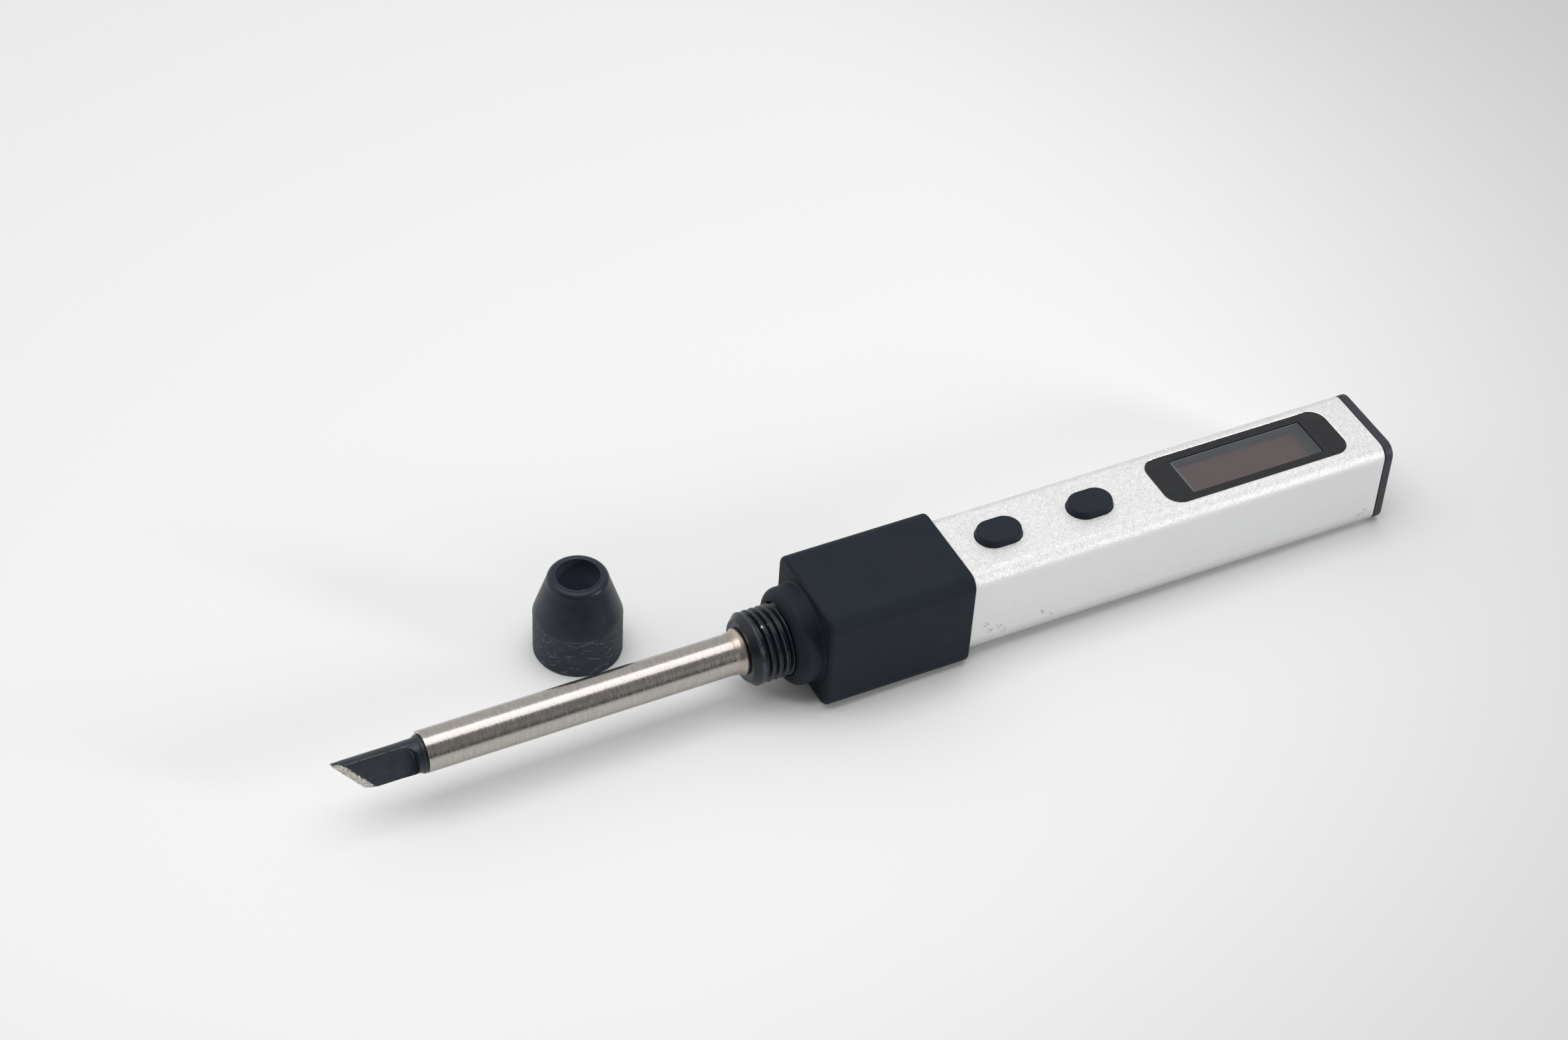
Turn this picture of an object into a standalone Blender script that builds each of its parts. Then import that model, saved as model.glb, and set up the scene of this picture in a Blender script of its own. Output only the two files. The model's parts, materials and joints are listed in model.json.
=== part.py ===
"""Pen soldering iron with a knife cartridge, lying on a table beside its loose retaining nut.

Metres, +Z up.  The pen is modelled along its own X axis: x = 0 is the front face of the silicone
sleeve's square part, the tip points to -x and the end cap to +x.  An empty tilts that axis, so
that the pen lies on the sleeve's rear edge and on the end cap's rear edge, on the table z = 0.
"""

import math

import bmesh
import bpy
from mathutils import Vector

MM = 0.001
SEAM = 0.1 * MM  # gap between snug pieces that show
GAP = 0.3 * MM  # gap between pieces that rest on each other inside
CORNER_STEPS = 7
ROUND_STEPS = 4 * (CORNER_STEPS + 1)  # points round every section, square or round

# Housing and end cap
BODY_WIDTH = 13.4 * MM
BODY_CORNER = 1.9 * MM
WALL = 1.2 * MM
HOUSING_FRONT = 2.4 * MM
HOUSING_REAR = 84.9 * MM
HOUSING_EDGE = 0.12 * MM
HOUSING_SCREW = (0.9 * MM, 1.7 * MM)  # shank and head radius of the nose's screws
CAP_REAR = 86.3 * MM
CAP_CHAMFER = 0.25 * MM
CAP_BLOCK_FRONT = 82.3 * MM
SPIGOT_WIDTH = 10.4 * MM
SPIGOT_CORNER = 0.6 * MM

# Silicone sleeve
SLEEVE_WIDTH = 15.3 * MM
SLEEVE_CORNER = 1.95 * MM
SLEEVE_REAR = 21.1 * MM
SLEEVE_RIM_ROUND = 0.4 * MM
SLEEVE_FRONT_ROUND = 0.55 * MM
SLEEVE_FRONT_WALL = 0.95 * MM
NECK_RADIUS = 6.6 * MM
NECK_FRONT = -3.45 * MM
NECK_ROUND = 1.4 * MM
NECK_HOLE = 5.05 * MM

# M10 x 1 thread of the nose, and of the nut that fits it
THREAD_PITCH = 1.0 * MM
THREAD_FORM = ((0.0, 1), (0.31, 0), (0.56, 0), (0.87, 1))  # share of a turn; 1 is the larger radius
NOSE_CREST = 4.9 * MM
NOSE_ROOT = 4.36 * MM
NOSE_RELIEF = 4.25 * MM
NOSE_RELIEF_FRONT = -0.9 * MM
NOSE_TURNS = 5
LAND = 0.03 * MM  # how far the plain stretch before a thread stands over its larger radius
NOSE_FRONT = -9.0 * MM
NOSE_THREAD_FRONT = -7.45 * MM
NOSE_CHAMFER_REAR = -7.6 * MM
NOSE_LIP = 4.15 * MM
NOSE_BORE = 2.2 * MM
NOSE_FLANGE = (1.2 * MM, 2.1 * MM)
NOSE_REAR = 10.0 * MM
NOSE_SCREW_X = 6.5 * MM

# Cartridge
BARREL_RADIUS = 2.75 * MM
BARREL_INSIDE = 2.4 * MM
BARREL_FRONT = -53.1 * MM
BARREL_REAR = -9.1 * MM
BARREL_CHAMFER = 0.1 * MM
FLARE_RADIUS = 3.15 * MM
FLARE_LENGTH = 1.4 * MM
STEM_FRONT = -14.2 * MM
STEM_COLLAR = 2.3 * MM
STEM_RADIUS = 2.0 * MM
STEM_GROOVE = 1.5 * MM
STEM_RINGS = (10.8 * MM, 14.2 * MM)
STEM_RING_LENGTH = 2.0 * MM
STEM_REAR = 15.3 * MM
STEM_CONTACT_REAR = 17.0 * MM
HEATER_RADIUS = 1.2 * MM
HEATER_FRONT = -45.6 * MM

# Knife tip: a round bar flattened on both sides and cut off at an angle
TIP_PLUG_REAR = -46.0 * MM
TIP_COLLAR = 2.6 * MM
TIP_COLLAR_X = (-54.2 * MM, -53.4 * MM)
TIP_X = -65.0 * MM
TIP_HEEL_X = -61.0 * MM
BLADE_RADIUS = 2.27 * MM
BLADE_DROP = 0.22 * MM
BLADE_HALF_THICKNESS = 0.79 * MM
BLADE_EDGE_HALF = 0.1 * MM
BLADE_BEVEL = 1.5 * MM
BLADE_ROLL = math.radians(19.0)
SCOOP = (-55.0 * MM, -56.4 * MM)

# Retaining nut, standing on the table
NUT_RADIUS = 5.97 * MM
NUT_HEIGHT = 12.9 * MM
NUT_BAND = 6.3 * MM
NUT_RIM = 4.1 * MM
NUT_RIM_ROUND = 0.8 * MM
NUT_HOLE = 2.93 * MM
NUT_SHOULDER = 6.0 * MM
NUT_THREAD = (4.46 * MM, 5.0 * MM)
NUT_THREAD_X = (0.25 * MM, 5.75 * MM)
NUT_TURNS = 4
NUT_CHAMFER = 0.15 * MM
NUT_FROM_PEN = (-24.2 * MM, 16.85 * MM)

# Buttons
BUTTONS = (("front", 28.35 * MM), ("rear", 42.15 * MM))
BUTTON_HALF = (3.25 * MM, 2.3 * MM)
BUTTON_TOP = 7.7 * MM
BUTTON_FLANGE = (4.7 * MM, 5.2 * MM)
BUTTON_FLANGE_RIM = 0.7 * MM
BUTTON_ROUND = 0.35 * MM
BUTTON_DRAFT = 0.1 * MM
SWITCH_TOP = 4.1 * MM
SWITCH_HALF = (3.0 * MM, 1.8 * MM)
PLUNGER_RADIUS = 0.95 * MM

# Display
DISPLAY_X = (52.4 * MM, 80.8 * MM)
DISPLAY_HALF = 4.55 * MM
DISPLAY_CORNER = 2.3 * MM
WINDOW_X = (56.4 * MM, 77.0 * MM)
WINDOW_HALF = 3.3 * MM
WINDOW_CORNER = 0.4 * MM
BEZEL_Z = (5.6 * MM, 6.6 * MM)
BEZEL_EDGE = 0.12 * MM
OLED_X = (54.7 * MM, 80.3 * MM)
OLED_HALF = 4.3 * MM
OLED_Z = (4.2 * MM, 5.25 * MM)
HOLDER_X = (53.0 * MM, 81.2 * MM)
HOLDER_TOP = 5.3 * MM
FLEX_HALF = 2.75 * MM

# Circuit board and power socket
BOARD_X = (20.0 * MM, 81.9 * MM)
BOARD_HALF = 5.1 * MM
BOARD_Z = (1.0 * MM, 2.0 * MM)
CARRIER_BOTTOM = -5.2 * MM
CARRIER_FLOOR = -4.5 * MM
CARRIER_RAIL = 0.6 * MM
SOCKET_X = (78.9 * MM, 86.0 * MM)
SOCKET_HALF = (4.47 * MM, 1.58 * MM)
SOCKET_WALL = 0.3 * MM
SOCKET_Z = -0.72 * MM
CAP_SCREW = (3.4 * MM, -3.75 * MM)
CAP_SCREW_FRONT = 77.5 * MM

# Contact clips: spring strip bent round the stem
CLIP_THICKNESS = 0.35 * MM
CLIP_INSIDE = 2.1 * MM
CLIP_TAIL_Z = 2.5 * MM

# How the pen lies on the table
SLEEVE_FOOT_X = SLEEVE_REAR - SLEEVE_RIM_ROUND
CAP_FOOT_X = CAP_REAR - CAP_CHAMFER
TILT = math.atan2((SLEEVE_WIDTH - BODY_WIDTH) / 2, CAP_FOOT_X - SLEEVE_FOOT_X)
PEN_HEIGHT = SLEEVE_FOOT_X * math.sin(TILT) + SLEEVE_WIDTH / 2 * math.cos(TILT)
PEN_X = -(TIP_X + CAP_REAR) / 2
PEN_Y = (SLEEVE_WIDTH / 2 - NUT_FROM_PEN[1] - NUT_RADIUS) / 2

# Colour, roughness and metallic value of each material
FINISHES = {
    "black_rubber": ((0.020, 0.024, 0.030), 0.75, 0.0),
    "black_metal": ((0.022, 0.024, 0.028), 0.42, 0.3),
    "black_plastic": ((0.024, 0.026, 0.032), 0.5, 0.0),
    "anodised_aluminium": ((0.72, 0.73, 0.74), 0.38, 0.9),
    "steel": ((0.60, 0.57, 0.54), 0.3, 1.0),
    "dark_iron": ((0.030, 0.035, 0.045), 0.35, 0.7),
    "gloss_black": ((0.035, 0.036, 0.040), 0.15, 0.0),
    "smoked_glass": ((0.25, 0.23, 0.23), 0.08, 0.0),
    "display_glass": ((0.11, 0.09, 0.09), 0.2, 0.0),
    "board_green": ((0.012, 0.09, 0.05), 0.45, 0.0),
    "amber_film": ((0.30, 0.13, 0.02), 0.4, 0.0),
    "ceramic": ((0.75, 0.72, 0.66), 0.6, 0.0),
    "brass": ((0.72, 0.52, 0.22), 0.3, 1.0),
    "chip_black": ((0.02, 0.02, 0.022), 0.5, 0.0),
    "capacitor_tan": ((0.36, 0.26, 0.15), 0.5, 0.0),
}


def clear_scene():
    for obj in list(bpy.data.objects):
        bpy.data.objects.remove(obj, do_unlink=True)


def material(finish):
    found = bpy.data.materials.get(finish)
    if found:
        return found
    colour, roughness, metallic = FINISHES[finish]
    made = bpy.data.materials.new(finish)
    made.use_nodes = True
    shader = made.node_tree.nodes["Principled BSDF"]
    shader.inputs["Base Color"].default_value = (*colour, 1.0)
    shader.inputs["Roughness"].default_value = roughness
    shader.inputs["Metallic"].default_value = metallic
    return made


def object_from(name, bm, finish=None, parent=None):
    """The bmesh as an object whose faces point out, smooth wherever it isn't sharp."""
    bmesh.ops.remove_doubles(bm, verts=bm.verts, dist=1e-8)
    bmesh.ops.recalc_face_normals(bm, faces=bm.faces)
    mesh = bpy.data.meshes.new(name)
    bm.to_mesh(mesh)
    bm.free()
    mesh.shade_smooth()
    mesh.set_sharp_from_angle(angle=math.radians(32))
    obj = bpy.data.objects.new(name, mesh)
    bpy.context.scene.collection.objects.link(obj)
    obj.parent = parent
    if finish:
        mesh.materials.append(material(finish))
    return obj


def combine(obj, helper, operation="DIFFERENCE"):
    """Cuts the helper from obj, or joins it on, and leaves the helper out of the model."""
    helper.parent = obj.parent
    helper.hide_render = True
    helper.display_type = "WIRE"
    boolean = obj.modifiers.new(helper.name, "BOOLEAN")
    boolean.operation = operation
    boolean.solver = "EXACT"
    boolean.object = helper
    return obj


def soften(obj, width):
    bevel = obj.modifiers.new("softened_edges", "BEVEL")
    bevel.width = width
    bevel.segments = 1
    return obj


# ---- Outlines and the solids made from them ----


def outline(half_u, half_v, corner):
    """A rectangle with rounded corners; corner equal to a half makes round ends or a circle."""
    round_ends = corner >= min(half_u, half_v)
    points = []
    for quarter, (side_u, side_v) in enumerate(((1, 1), (-1, 1), (-1, -1), (1, -1))):
        for step in range(CORNER_STEPS + 1):
            share = (step + 0.5) / (CORNER_STEPS + 1) if round_ends else step / CORNER_STEPS
            angle = (quarter + share) * math.pi / 2
            u = side_u * (half_u - corner) + corner * math.cos(angle)
            v = side_v * (half_v - corner) + corner * math.sin(angle)
            points.append((u, v))
    return points


def square_at(x, width, corner):
    return [Vector((x, y, z)) for y, z in outline(width / 2, width / 2, corner)]


def circle_at(x, radius):
    return [Vector((x, y, z)) for y, z in outline(radius, radius, radius)]


def level(centre_x, half_x, half_y, corner, z):
    return [Vector((centre_x + u, v, z)) for u, v in outline(half_x, half_y, corner)]


def rounding(end, radius, towards, steps=4):
    """(position, inset) pairs along a quarter round that ends at end, from full width inwards."""
    for step in range(steps + 1):
        angle = math.pi / 2 * step / steps
        yield end - towards * radius * (1 - math.sin(angle)), radius * (1 - math.cos(angle))


def bridge(bm, first, second):
    for k, (a, b) in enumerate(zip(first, second)):
        after = (k + 1) % len(first)
        bm.faces.new((a, first[after], second[after], b))


def rows_of(bm, sections):
    return [[bm.verts.new(point) for point in section] for section in sections]


def loft(sections, closed=False):
    """A skin over the sections: ends capped, or joined to each other round a hollow."""
    bm = bmesh.new()
    rows = rows_of(bm, sections)
    for first, second in zip(rows, rows[1:]):
        bridge(bm, first, second)
    if closed:
        bridge(bm, rows[-1], rows[0])
    else:
        bm.faces.new(rows[0])
        bm.faces.new(rows[-1])
    return bm


def turned(profile, steps=ROUND_STEPS):
    """A closed (x, radius) profile spun round the X axis."""
    bm = bmesh.new()
    verts = [bm.verts.new((x, radius, 0.0)) for x, radius in profile]
    edges = [bm.edges.new((a, b)) for a, b in zip(verts, verts[1:] + verts[:1])]
    bmesh.ops.spin(
        bm,
        geom=verts + edges,
        axis=(1, 0, 0),
        cent=(0, 0, 0),
        angle=2 * math.pi,
        steps=steps,
        use_merge=True,
    )
    bmesh.ops.remove_doubles(bm, verts=bm.verts, dist=1e-7)
    on_axis = [edge for edge in bm.edges if not edge.link_faces]
    bmesh.ops.delete(bm, geom=on_axis, context="EDGES")
    return bm


def box(low, high):
    bm = bmesh.new()
    bmesh.ops.create_cube(bm, size=1.0)
    for vert in bm.verts:
        vert.co = [lo + (co + 0.5) * (hi - lo) for co, lo, hi in zip(vert.co, low, high)]
    return bm


def strip(path, thickness, place):
    """A bent strip: path in 2-D, and place turns (u, v, side) into a point, side being 0 or 1."""
    sections = []
    for k, point in enumerate(path):
        before = Vector(path[max(k - 1, 0)])
        after = Vector(path[min(k + 1, len(path) - 1)])
        along = (after - before).normalized()
        offset = Vector((-along.y, along.x)) * thickness / 2
        near, far = Vector(point) - offset, Vector(point) + offset
        sections.append([place(*near, 0), place(*near, 1), place(*far, 1), place(*far, 0)])
    return loft(sections)


def arc(centre, radius, start, end, steps):
    """Points of an arc in 2-D, with its angles in degrees."""
    for step in range(steps + 1):
        angle = math.radians(start + (end - start) * step / steps)
        yield centre[0] + radius * math.cos(angle), centre[1] + radius * math.sin(angle)


def threaded(before, start, turns, radii, after):
    """Sections joined by a right-hand screw thread, closed round the hollow.

    Its rows climb along x by one pitch in a turn, so that row j ends where row j + 4 began.  The
    last section before the thread is wider than the crest, and the first one after it is
    narrower than the root.
    """
    bm = bmesh.new()
    rows_before, rows_after = rows_of(bm, before), rows_of(bm, after)
    for first, second in zip(rows_before, rows_before[1:]):
        bridge(bm, first, second)
    for first, second in zip(rows_after, rows_after[1:]):
        bridge(bm, first, second)
    bridge(bm, rows_after[-1], rows_before[0])

    last = len(THREAD_FORM) * turns + 1
    columns = []
    for k in range(ROUND_STEPS):
        angle = (k + 0.5) / ROUND_STEPS * 2 * math.pi
        column = []
        for j in range(last + len(THREAD_FORM) + 1 if k == 0 else last + 1):
            share, wide = THREAD_FORM[j % len(THREAD_FORM)]
            x = start + (j // len(THREAD_FORM) + share + k / ROUND_STEPS) * THREAD_PITCH
            spot = (x, radii[wide] * math.cos(angle), radii[wide] * math.sin(angle))
            column.append(bm.verts.new(spot))
        columns.append(column)
    columns.append(columns[0][len(THREAD_FORM):])

    for k, (column, following) in enumerate(zip(columns, columns[1:])):
        near = [rows_before[-1][k], *column[: last + 1], rows_after[0][k]]
        after_k = (k + 1) % ROUND_STEPS
        far = [rows_before[-1][after_k], *following[: last + 1], rows_after[0][after_k]]
        for corners in zip(near, far, far[1:], near[1:]):
            bm.faces.new(corners)
    seam = columns[0]
    bm.faces.new([rows_before[-1][0], *seam[: len(THREAD_FORM) + 1]])
    bm.faces.new([rows_after[0][0], *reversed(seam[last:])])
    return bm


# ---- Cartridge ----


def blade_section(depth, thickness):
    """Points round the blade; depth(u) gives x at height u, thickness caps the half thickness."""
    points = []
    for side, up in outline(BLADE_RADIUS, BLADE_RADIUS, BLADE_RADIUS):
        side = max(-thickness, min(thickness, side))
        up -= BLADE_DROP
        y = side * math.cos(BLADE_ROLL) + up * math.sin(BLADE_ROLL)
        z = up * math.cos(BLADE_ROLL) - side * math.sin(BLADE_ROLL)
        points.append(Vector((depth(up), y, z)))
    return points


def make_knife_tip(parent):
    top = BLADE_RADIUS - BLADE_DROP

    def cut(up, back=0.0):
        return TIP_X + back + (top - up) * (TIP_HEEL_X - TIP_X) / (2 * BLADE_RADIUS)

    sections = [circle_at(TIP_PLUG_REAR, BARREL_INSIDE - SEAM)]
    sections.append(circle_at(BARREL_FRONT - SEAM, BARREL_INSIDE - SEAM))
    collar_front, collar_rear = TIP_COLLAR_X
    sections.append(circle_at(BARREL_FRONT - SEAM, TIP_COLLAR - SEAM))
    sections.append(circle_at(collar_rear, TIP_COLLAR))
    sections.append(circle_at(collar_front, TIP_COLLAR))
    sections.append(circle_at(collar_front - 4 * SEAM, TIP_COLLAR - 2 * SEAM))
    scoop_steps = 4
    for step in range(scoop_steps + 1):
        share = step / scoop_steps
        x = SCOOP[0] + share * (SCOOP[1] - SCOOP[0])
        full = BLADE_RADIUS - BLADE_HALF_THICKNESS
        thickness = BLADE_HALF_THICKNESS + full * (1 - math.sqrt(1 - (1 - share) ** 2))
        sections.append(blade_section(lambda up, x=x: x, thickness))
    sections.append(blade_section(lambda up: cut(up, BLADE_BEVEL), BLADE_HALF_THICKNESS))
    sections.append(blade_section(cut, BLADE_EDGE_HALF))
    object_from("knife_tip", loft(sections), "dark_iron", parent)


def make_barrel(parent):
    profile = [(BARREL_FRONT, BARREL_INSIDE), (BARREL_FRONT, BARREL_RADIUS - BARREL_CHAMFER)]
    profile.append((BARREL_FRONT + BARREL_CHAMFER, BARREL_RADIUS))
    flare, lip, flare_steps = FLARE_RADIUS - BARREL_RADIUS, 0.3 * MM, 4
    for step in range(flare_steps + 1):
        share = step / flare_steps
        x = BARREL_REAR - FLARE_LENGTH + share * (FLARE_LENGTH - lip)
        profile.append((x, BARREL_RADIUS + flare * share**2))
    profile += [(BARREL_REAR, FLARE_RADIUS - BARREL_CHAMFER / 2), (BARREL_REAR, BARREL_INSIDE)]
    object_from("cartridge_barrel", turned(profile), "steel", parent)


def make_heater(parent):
    front, rear = HEATER_FRONT, STEM_FRONT - GAP
    profile = [(front, 0.0), (front, HEATER_RADIUS), (rear, HEATER_RADIUS), (rear, 0.0)]
    object_from("heater_core", turned(profile, 16), "ceramic", parent)


def make_stem(parent):
    """Insulating stem with a groove for each contact ring, and the rings themselves."""
    profile = [(STEM_FRONT, 0.0), (STEM_FRONT, STEM_COLLAR)]
    profile += [(BARREL_REAR, STEM_COLLAR), (BARREL_REAR, STEM_RADIUS)]
    for centre in STEM_RINGS:
        half = STEM_RING_LENGTH / 2
        profile += [(centre - half, STEM_RADIUS), (centre - half, STEM_GROOVE)]
        profile += [(centre + half, STEM_GROOVE), (centre + half, STEM_RADIUS)]
    profile += [(STEM_REAR, STEM_RADIUS), (STEM_REAR, 0.0)]
    object_from("cartridge_stem", turned(profile, 24), "ceramic", parent)
    for place, centre in zip(("front", "rear"), STEM_RINGS):
        half = STEM_RING_LENGTH / 2 - SEAM
        inner, outer = STEM_GROOVE + SEAM, STEM_RADIUS
        low, high = centre - half, centre + half
        ring = turned([(low, inner), (low, outer), (high, outer), (high, inner)], 24)
        object_from(f"stem_ring_{place}", ring, "brass", parent)
    front, rear, chamfer = STEM_REAR + SEAM, STEM_CONTACT_REAR, 4 * SEAM
    end = [(front, 0.0), (front, STEM_RADIUS), (rear - chamfer, STEM_RADIUS)]
    end += [(rear, STEM_RADIUS - chamfer), (rear, 0.0)]
    object_from("stem_end_contact", turned(end, 24), "brass", parent)


# ---- Nose, sleeve and nut ----


def screw_along_y(name, side, clearance, finish, parent):
    """Countersunk M2 screw in the housing's side, or with clearance its hole."""
    shank, head = (radius + clearance for radius in HOUSING_SCREW)
    flush = BODY_WIDTH / 2 - SEAM
    top, neck, end = flush, flush - 0.9 * MM, flush - 3.3 * MM
    if clearance:
        top, end = top + 1.0 * MM, end - GAP
    profile = [(end, 0.0), (end, shank), (neck, shank), (flush, head), (top, head), (top, 0.0)]
    screw = object_from(name, turned(profile, 20), finish, parent)
    screw.rotation_euler = (0, 0, side * math.pi / 2)
    screw.location = (NOSE_SCREW_X, 0, 0)
    return screw


def add_socket_drive(screw, name, x, across):
    """Hexagonal recess in the head of a screw, cut down to x along the screw's own axis."""
    radius, height = across / 2, 2 * MM
    hexagon = turned([(x, 0.0), (x, radius), (x + height, radius), (x + height, 0.0)], 6)
    recess = object_from(name, hexagon)
    recess.location = screw.location
    recess.rotation_euler = screw.rotation_euler
    combine(screw, recess)


def make_nose(parent):
    before = [circle_at(NOSE_FRONT, NOSE_BORE), circle_at(NOSE_FRONT, NOSE_LIP)]
    before.append(circle_at(NOSE_CHAMFER_REAR, NOSE_CREST + LAND))
    before.append(circle_at(NOSE_THREAD_FRONT - 2 * LAND, NOSE_CREST + LAND))
    flange_front, flange_rear = NOSE_FLANGE
    after = [circle_at(x, NOSE_RELIEF) for x in (NOSE_RELIEF_FRONT, flange_front)]
    after.append(square_at(flange_front, BODY_WIDTH, BODY_CORNER))
    after.append(square_at(flange_rear, BODY_WIDTH, BODY_CORNER))
    after.append(square_at(flange_rear, SPIGOT_WIDTH, SPIGOT_CORNER))
    after.append(square_at(NOSE_REAR, SPIGOT_WIDTH, SPIGOT_CORNER))
    after.append(circle_at(NOSE_REAR, NOSE_BORE))
    bm = threaded(before, NOSE_THREAD_FRONT, NOSE_TURNS, (NOSE_ROOT, NOSE_CREST), after)
    nose = object_from("threaded_nose", bm, "black_metal", parent)
    for place, side in (("near", -1), ("far", 1)):
        hole = screw_along_y(f"cut_nose_screw_{place}", side, SEAM, None, parent)
        combine(nose, hole)
        screw = screw_along_y(f"nose_screw_{place}", side, 0.0, "steel", parent)
        add_socket_drive(screw, f"cut_nose_socket_{place}", 5.9 * MM, 1.5 * MM)


def make_sleeve(parent):
    sections = []
    for x, inset in reversed(list(rounding(SLEEVE_REAR, SLEEVE_RIM_ROUND, 1))):
        sections.append(square_at(x, SLEEVE_WIDTH - 2 * inset, SLEEVE_CORNER - inset))
    for x, inset in rounding(0.0, SLEEVE_FRONT_ROUND, -1):
        sections.append(square_at(x, SLEEVE_WIDTH - 2 * inset, SLEEVE_CORNER - inset))
    sections.append(circle_at(0.0, NECK_RADIUS))
    for x, inset in rounding(NECK_FRONT, NECK_ROUND, -1):
        sections.append(circle_at(x, NECK_RADIUS - inset))
    sections.append(circle_at(NECK_FRONT, NECK_HOLE))
    sections.append(circle_at(SLEEVE_FRONT_WALL, NECK_HOLE))
    inside = BODY_WIDTH + 2 * SEAM
    sections.append(square_at(SLEEVE_FRONT_WALL, inside, BODY_CORNER))
    sections.append(square_at(SLEEVE_REAR, inside, BODY_CORNER))
    object_from("silicone_sleeve", loft(sections, closed=True), "black_rubber", parent)


def make_nut():
    """Built along x from its base, then stood up."""
    small, big = NUT_THREAD
    front, rear = NUT_THREAD_X
    before = [circle_at(0.0, big + GAP), circle_at(front - 2 * LAND, big + LAND)]
    hole_edge = 0.2 * MM
    after = [circle_at(rear, small - 2 * LAND), circle_at(NUT_SHOULDER, NUT_HOLE + 2 * hole_edge)]
    after += [circle_at(x, NUT_HOLE) for x in (NUT_SHOULDER, NUT_HEIGHT - hole_edge)]
    after.append(circle_at(NUT_HEIGHT, NUT_HOLE + hole_edge))
    for x, inset in reversed(list(rounding(NUT_HEIGHT, NUT_RIM_ROUND, 1))):
        after.append(circle_at(x, NUT_RIM - inset))
    after += [circle_at(x, NUT_RADIUS) for x in (NUT_BAND, NUT_CHAMFER)]
    after.append(circle_at(0.0, NUT_RADIUS - NUT_CHAMFER))
    bm = threaded(before, front, NUT_TURNS, (small, big), after)
    nut = object_from("retaining_nut", bm, "black_metal")
    nut.location = (PEN_X + NUT_FROM_PEN[0], PEN_Y + NUT_FROM_PEN[1], 0)
    nut.rotation_euler = (0, -math.pi / 2, 0)


# ---- Housing and end cap ----


def make_housing(parent):
    half = BODY_WIDTH / 2
    inner = BODY_WIDTH - 2 * WALL
    inner_corner = BODY_CORNER - WALL
    edge = 2 * HOUSING_EDGE
    sections = [square_at(HOUSING_REAR, inner, inner_corner)]
    sections.append(square_at(HOUSING_REAR, BODY_WIDTH - edge, BODY_CORNER - HOUSING_EDGE))
    sections.append(square_at(HOUSING_REAR - HOUSING_EDGE, BODY_WIDTH, BODY_CORNER))
    sections.append(square_at(HOUSING_FRONT, BODY_WIDTH, BODY_CORNER))
    sections.append(square_at(HOUSING_FRONT, inner, inner_corner))
    housing = object_from("housing", loft(sections, closed=True), "anodised_aluminium", parent)
    low, high = half - 2 * WALL, half + WALL
    centre, reach = sum(DISPLAY_X) / 2, (DISPLAY_X[1] - DISPLAY_X[0]) / 2
    window = [level(centre, reach, DISPLAY_HALF, DISPLAY_CORNER, z) for z in (low, high)]
    combine(housing, object_from("cut_display", loft(window)))
    for place, x in BUTTONS:
        half_x, half_y = (half + 2 * SEAM for half in BUTTON_HALF)
        slot = [level(x, half_x, half_y, half_y, z) for z in (low, high)]
        combine(housing, object_from(f"cut_{place}_button", loft(slot)))
    for place, side in (("near", -1), ("far", 1)):
        hole = screw_along_y(f"cut_housing_screw_{place}", side, SEAM, None, parent)
        combine(housing, hole)


def cap_screw_profile(clearance):
    head, shank = 1.2 * MM + clearance, 0.7 * MM + clearance
    front, neck, top = CAP_SCREW_FRONT, CAP_REAR - 0.9 * MM, CAP_REAR - 0.15 * MM
    if clearance:
        front, top = front - GAP, CAP_REAR + 1.0 * MM
    profile = [(front, 0.0), (front, shank), (neck - 0.2 * MM, shank), (neck, head)]
    return profile + [(top, head), (top, 0.0)]


def make_end_cap(parent):
    flange_front = HOUSING_REAR + SEAM
    sections = [square_at(CAP_BLOCK_FRONT, SPIGOT_WIDTH, SPIGOT_CORNER)]
    sections.append(square_at(flange_front, SPIGOT_WIDTH, SPIGOT_CORNER))
    sections.append(square_at(flange_front, BODY_WIDTH, BODY_CORNER))
    sections.append(square_at(CAP_REAR - CAP_CHAMFER, BODY_WIDTH, BODY_CORNER))
    chamfered = BODY_WIDTH - 2 * CAP_CHAMFER
    sections.append(square_at(CAP_REAR, chamfered, BODY_CORNER - CAP_CHAMFER))
    cap = object_from("end_cap", loft(sections), "black_plastic", parent)
    half_y, half_z = (half + GAP for half in SOCKET_HALF)
    mouth = []
    for x in (CAP_BLOCK_FRONT - 1 * MM, CAP_REAR + 1 * MM):
        points = outline(half_y, half_z, half_z)
        mouth.append([Vector((x, y, SOCKET_Z + z)) for y, z in points])
    combine(cap, object_from("cut_socket", loft(mouth)))
    for place, side in (("near", -1), ("far", 1)):
        spot = (0, side * CAP_SCREW[0], CAP_SCREW[1])
        hole = object_from(f"cut_cap_screw_{place}", turned(cap_screw_profile(SEAM), 20))
        hole.location = spot
        combine(cap, hole)
        bm = turned(cap_screw_profile(0.0), 20)
        screw = object_from(f"cap_screw_{place}", bm, "steel", parent)
        screw.location = spot
        add_socket_drive(screw, f"cut_cap_socket_{place}", CAP_REAR - 0.7 * MM, 1.2 * MM)


# ---- Buttons and their switches ----


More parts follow.
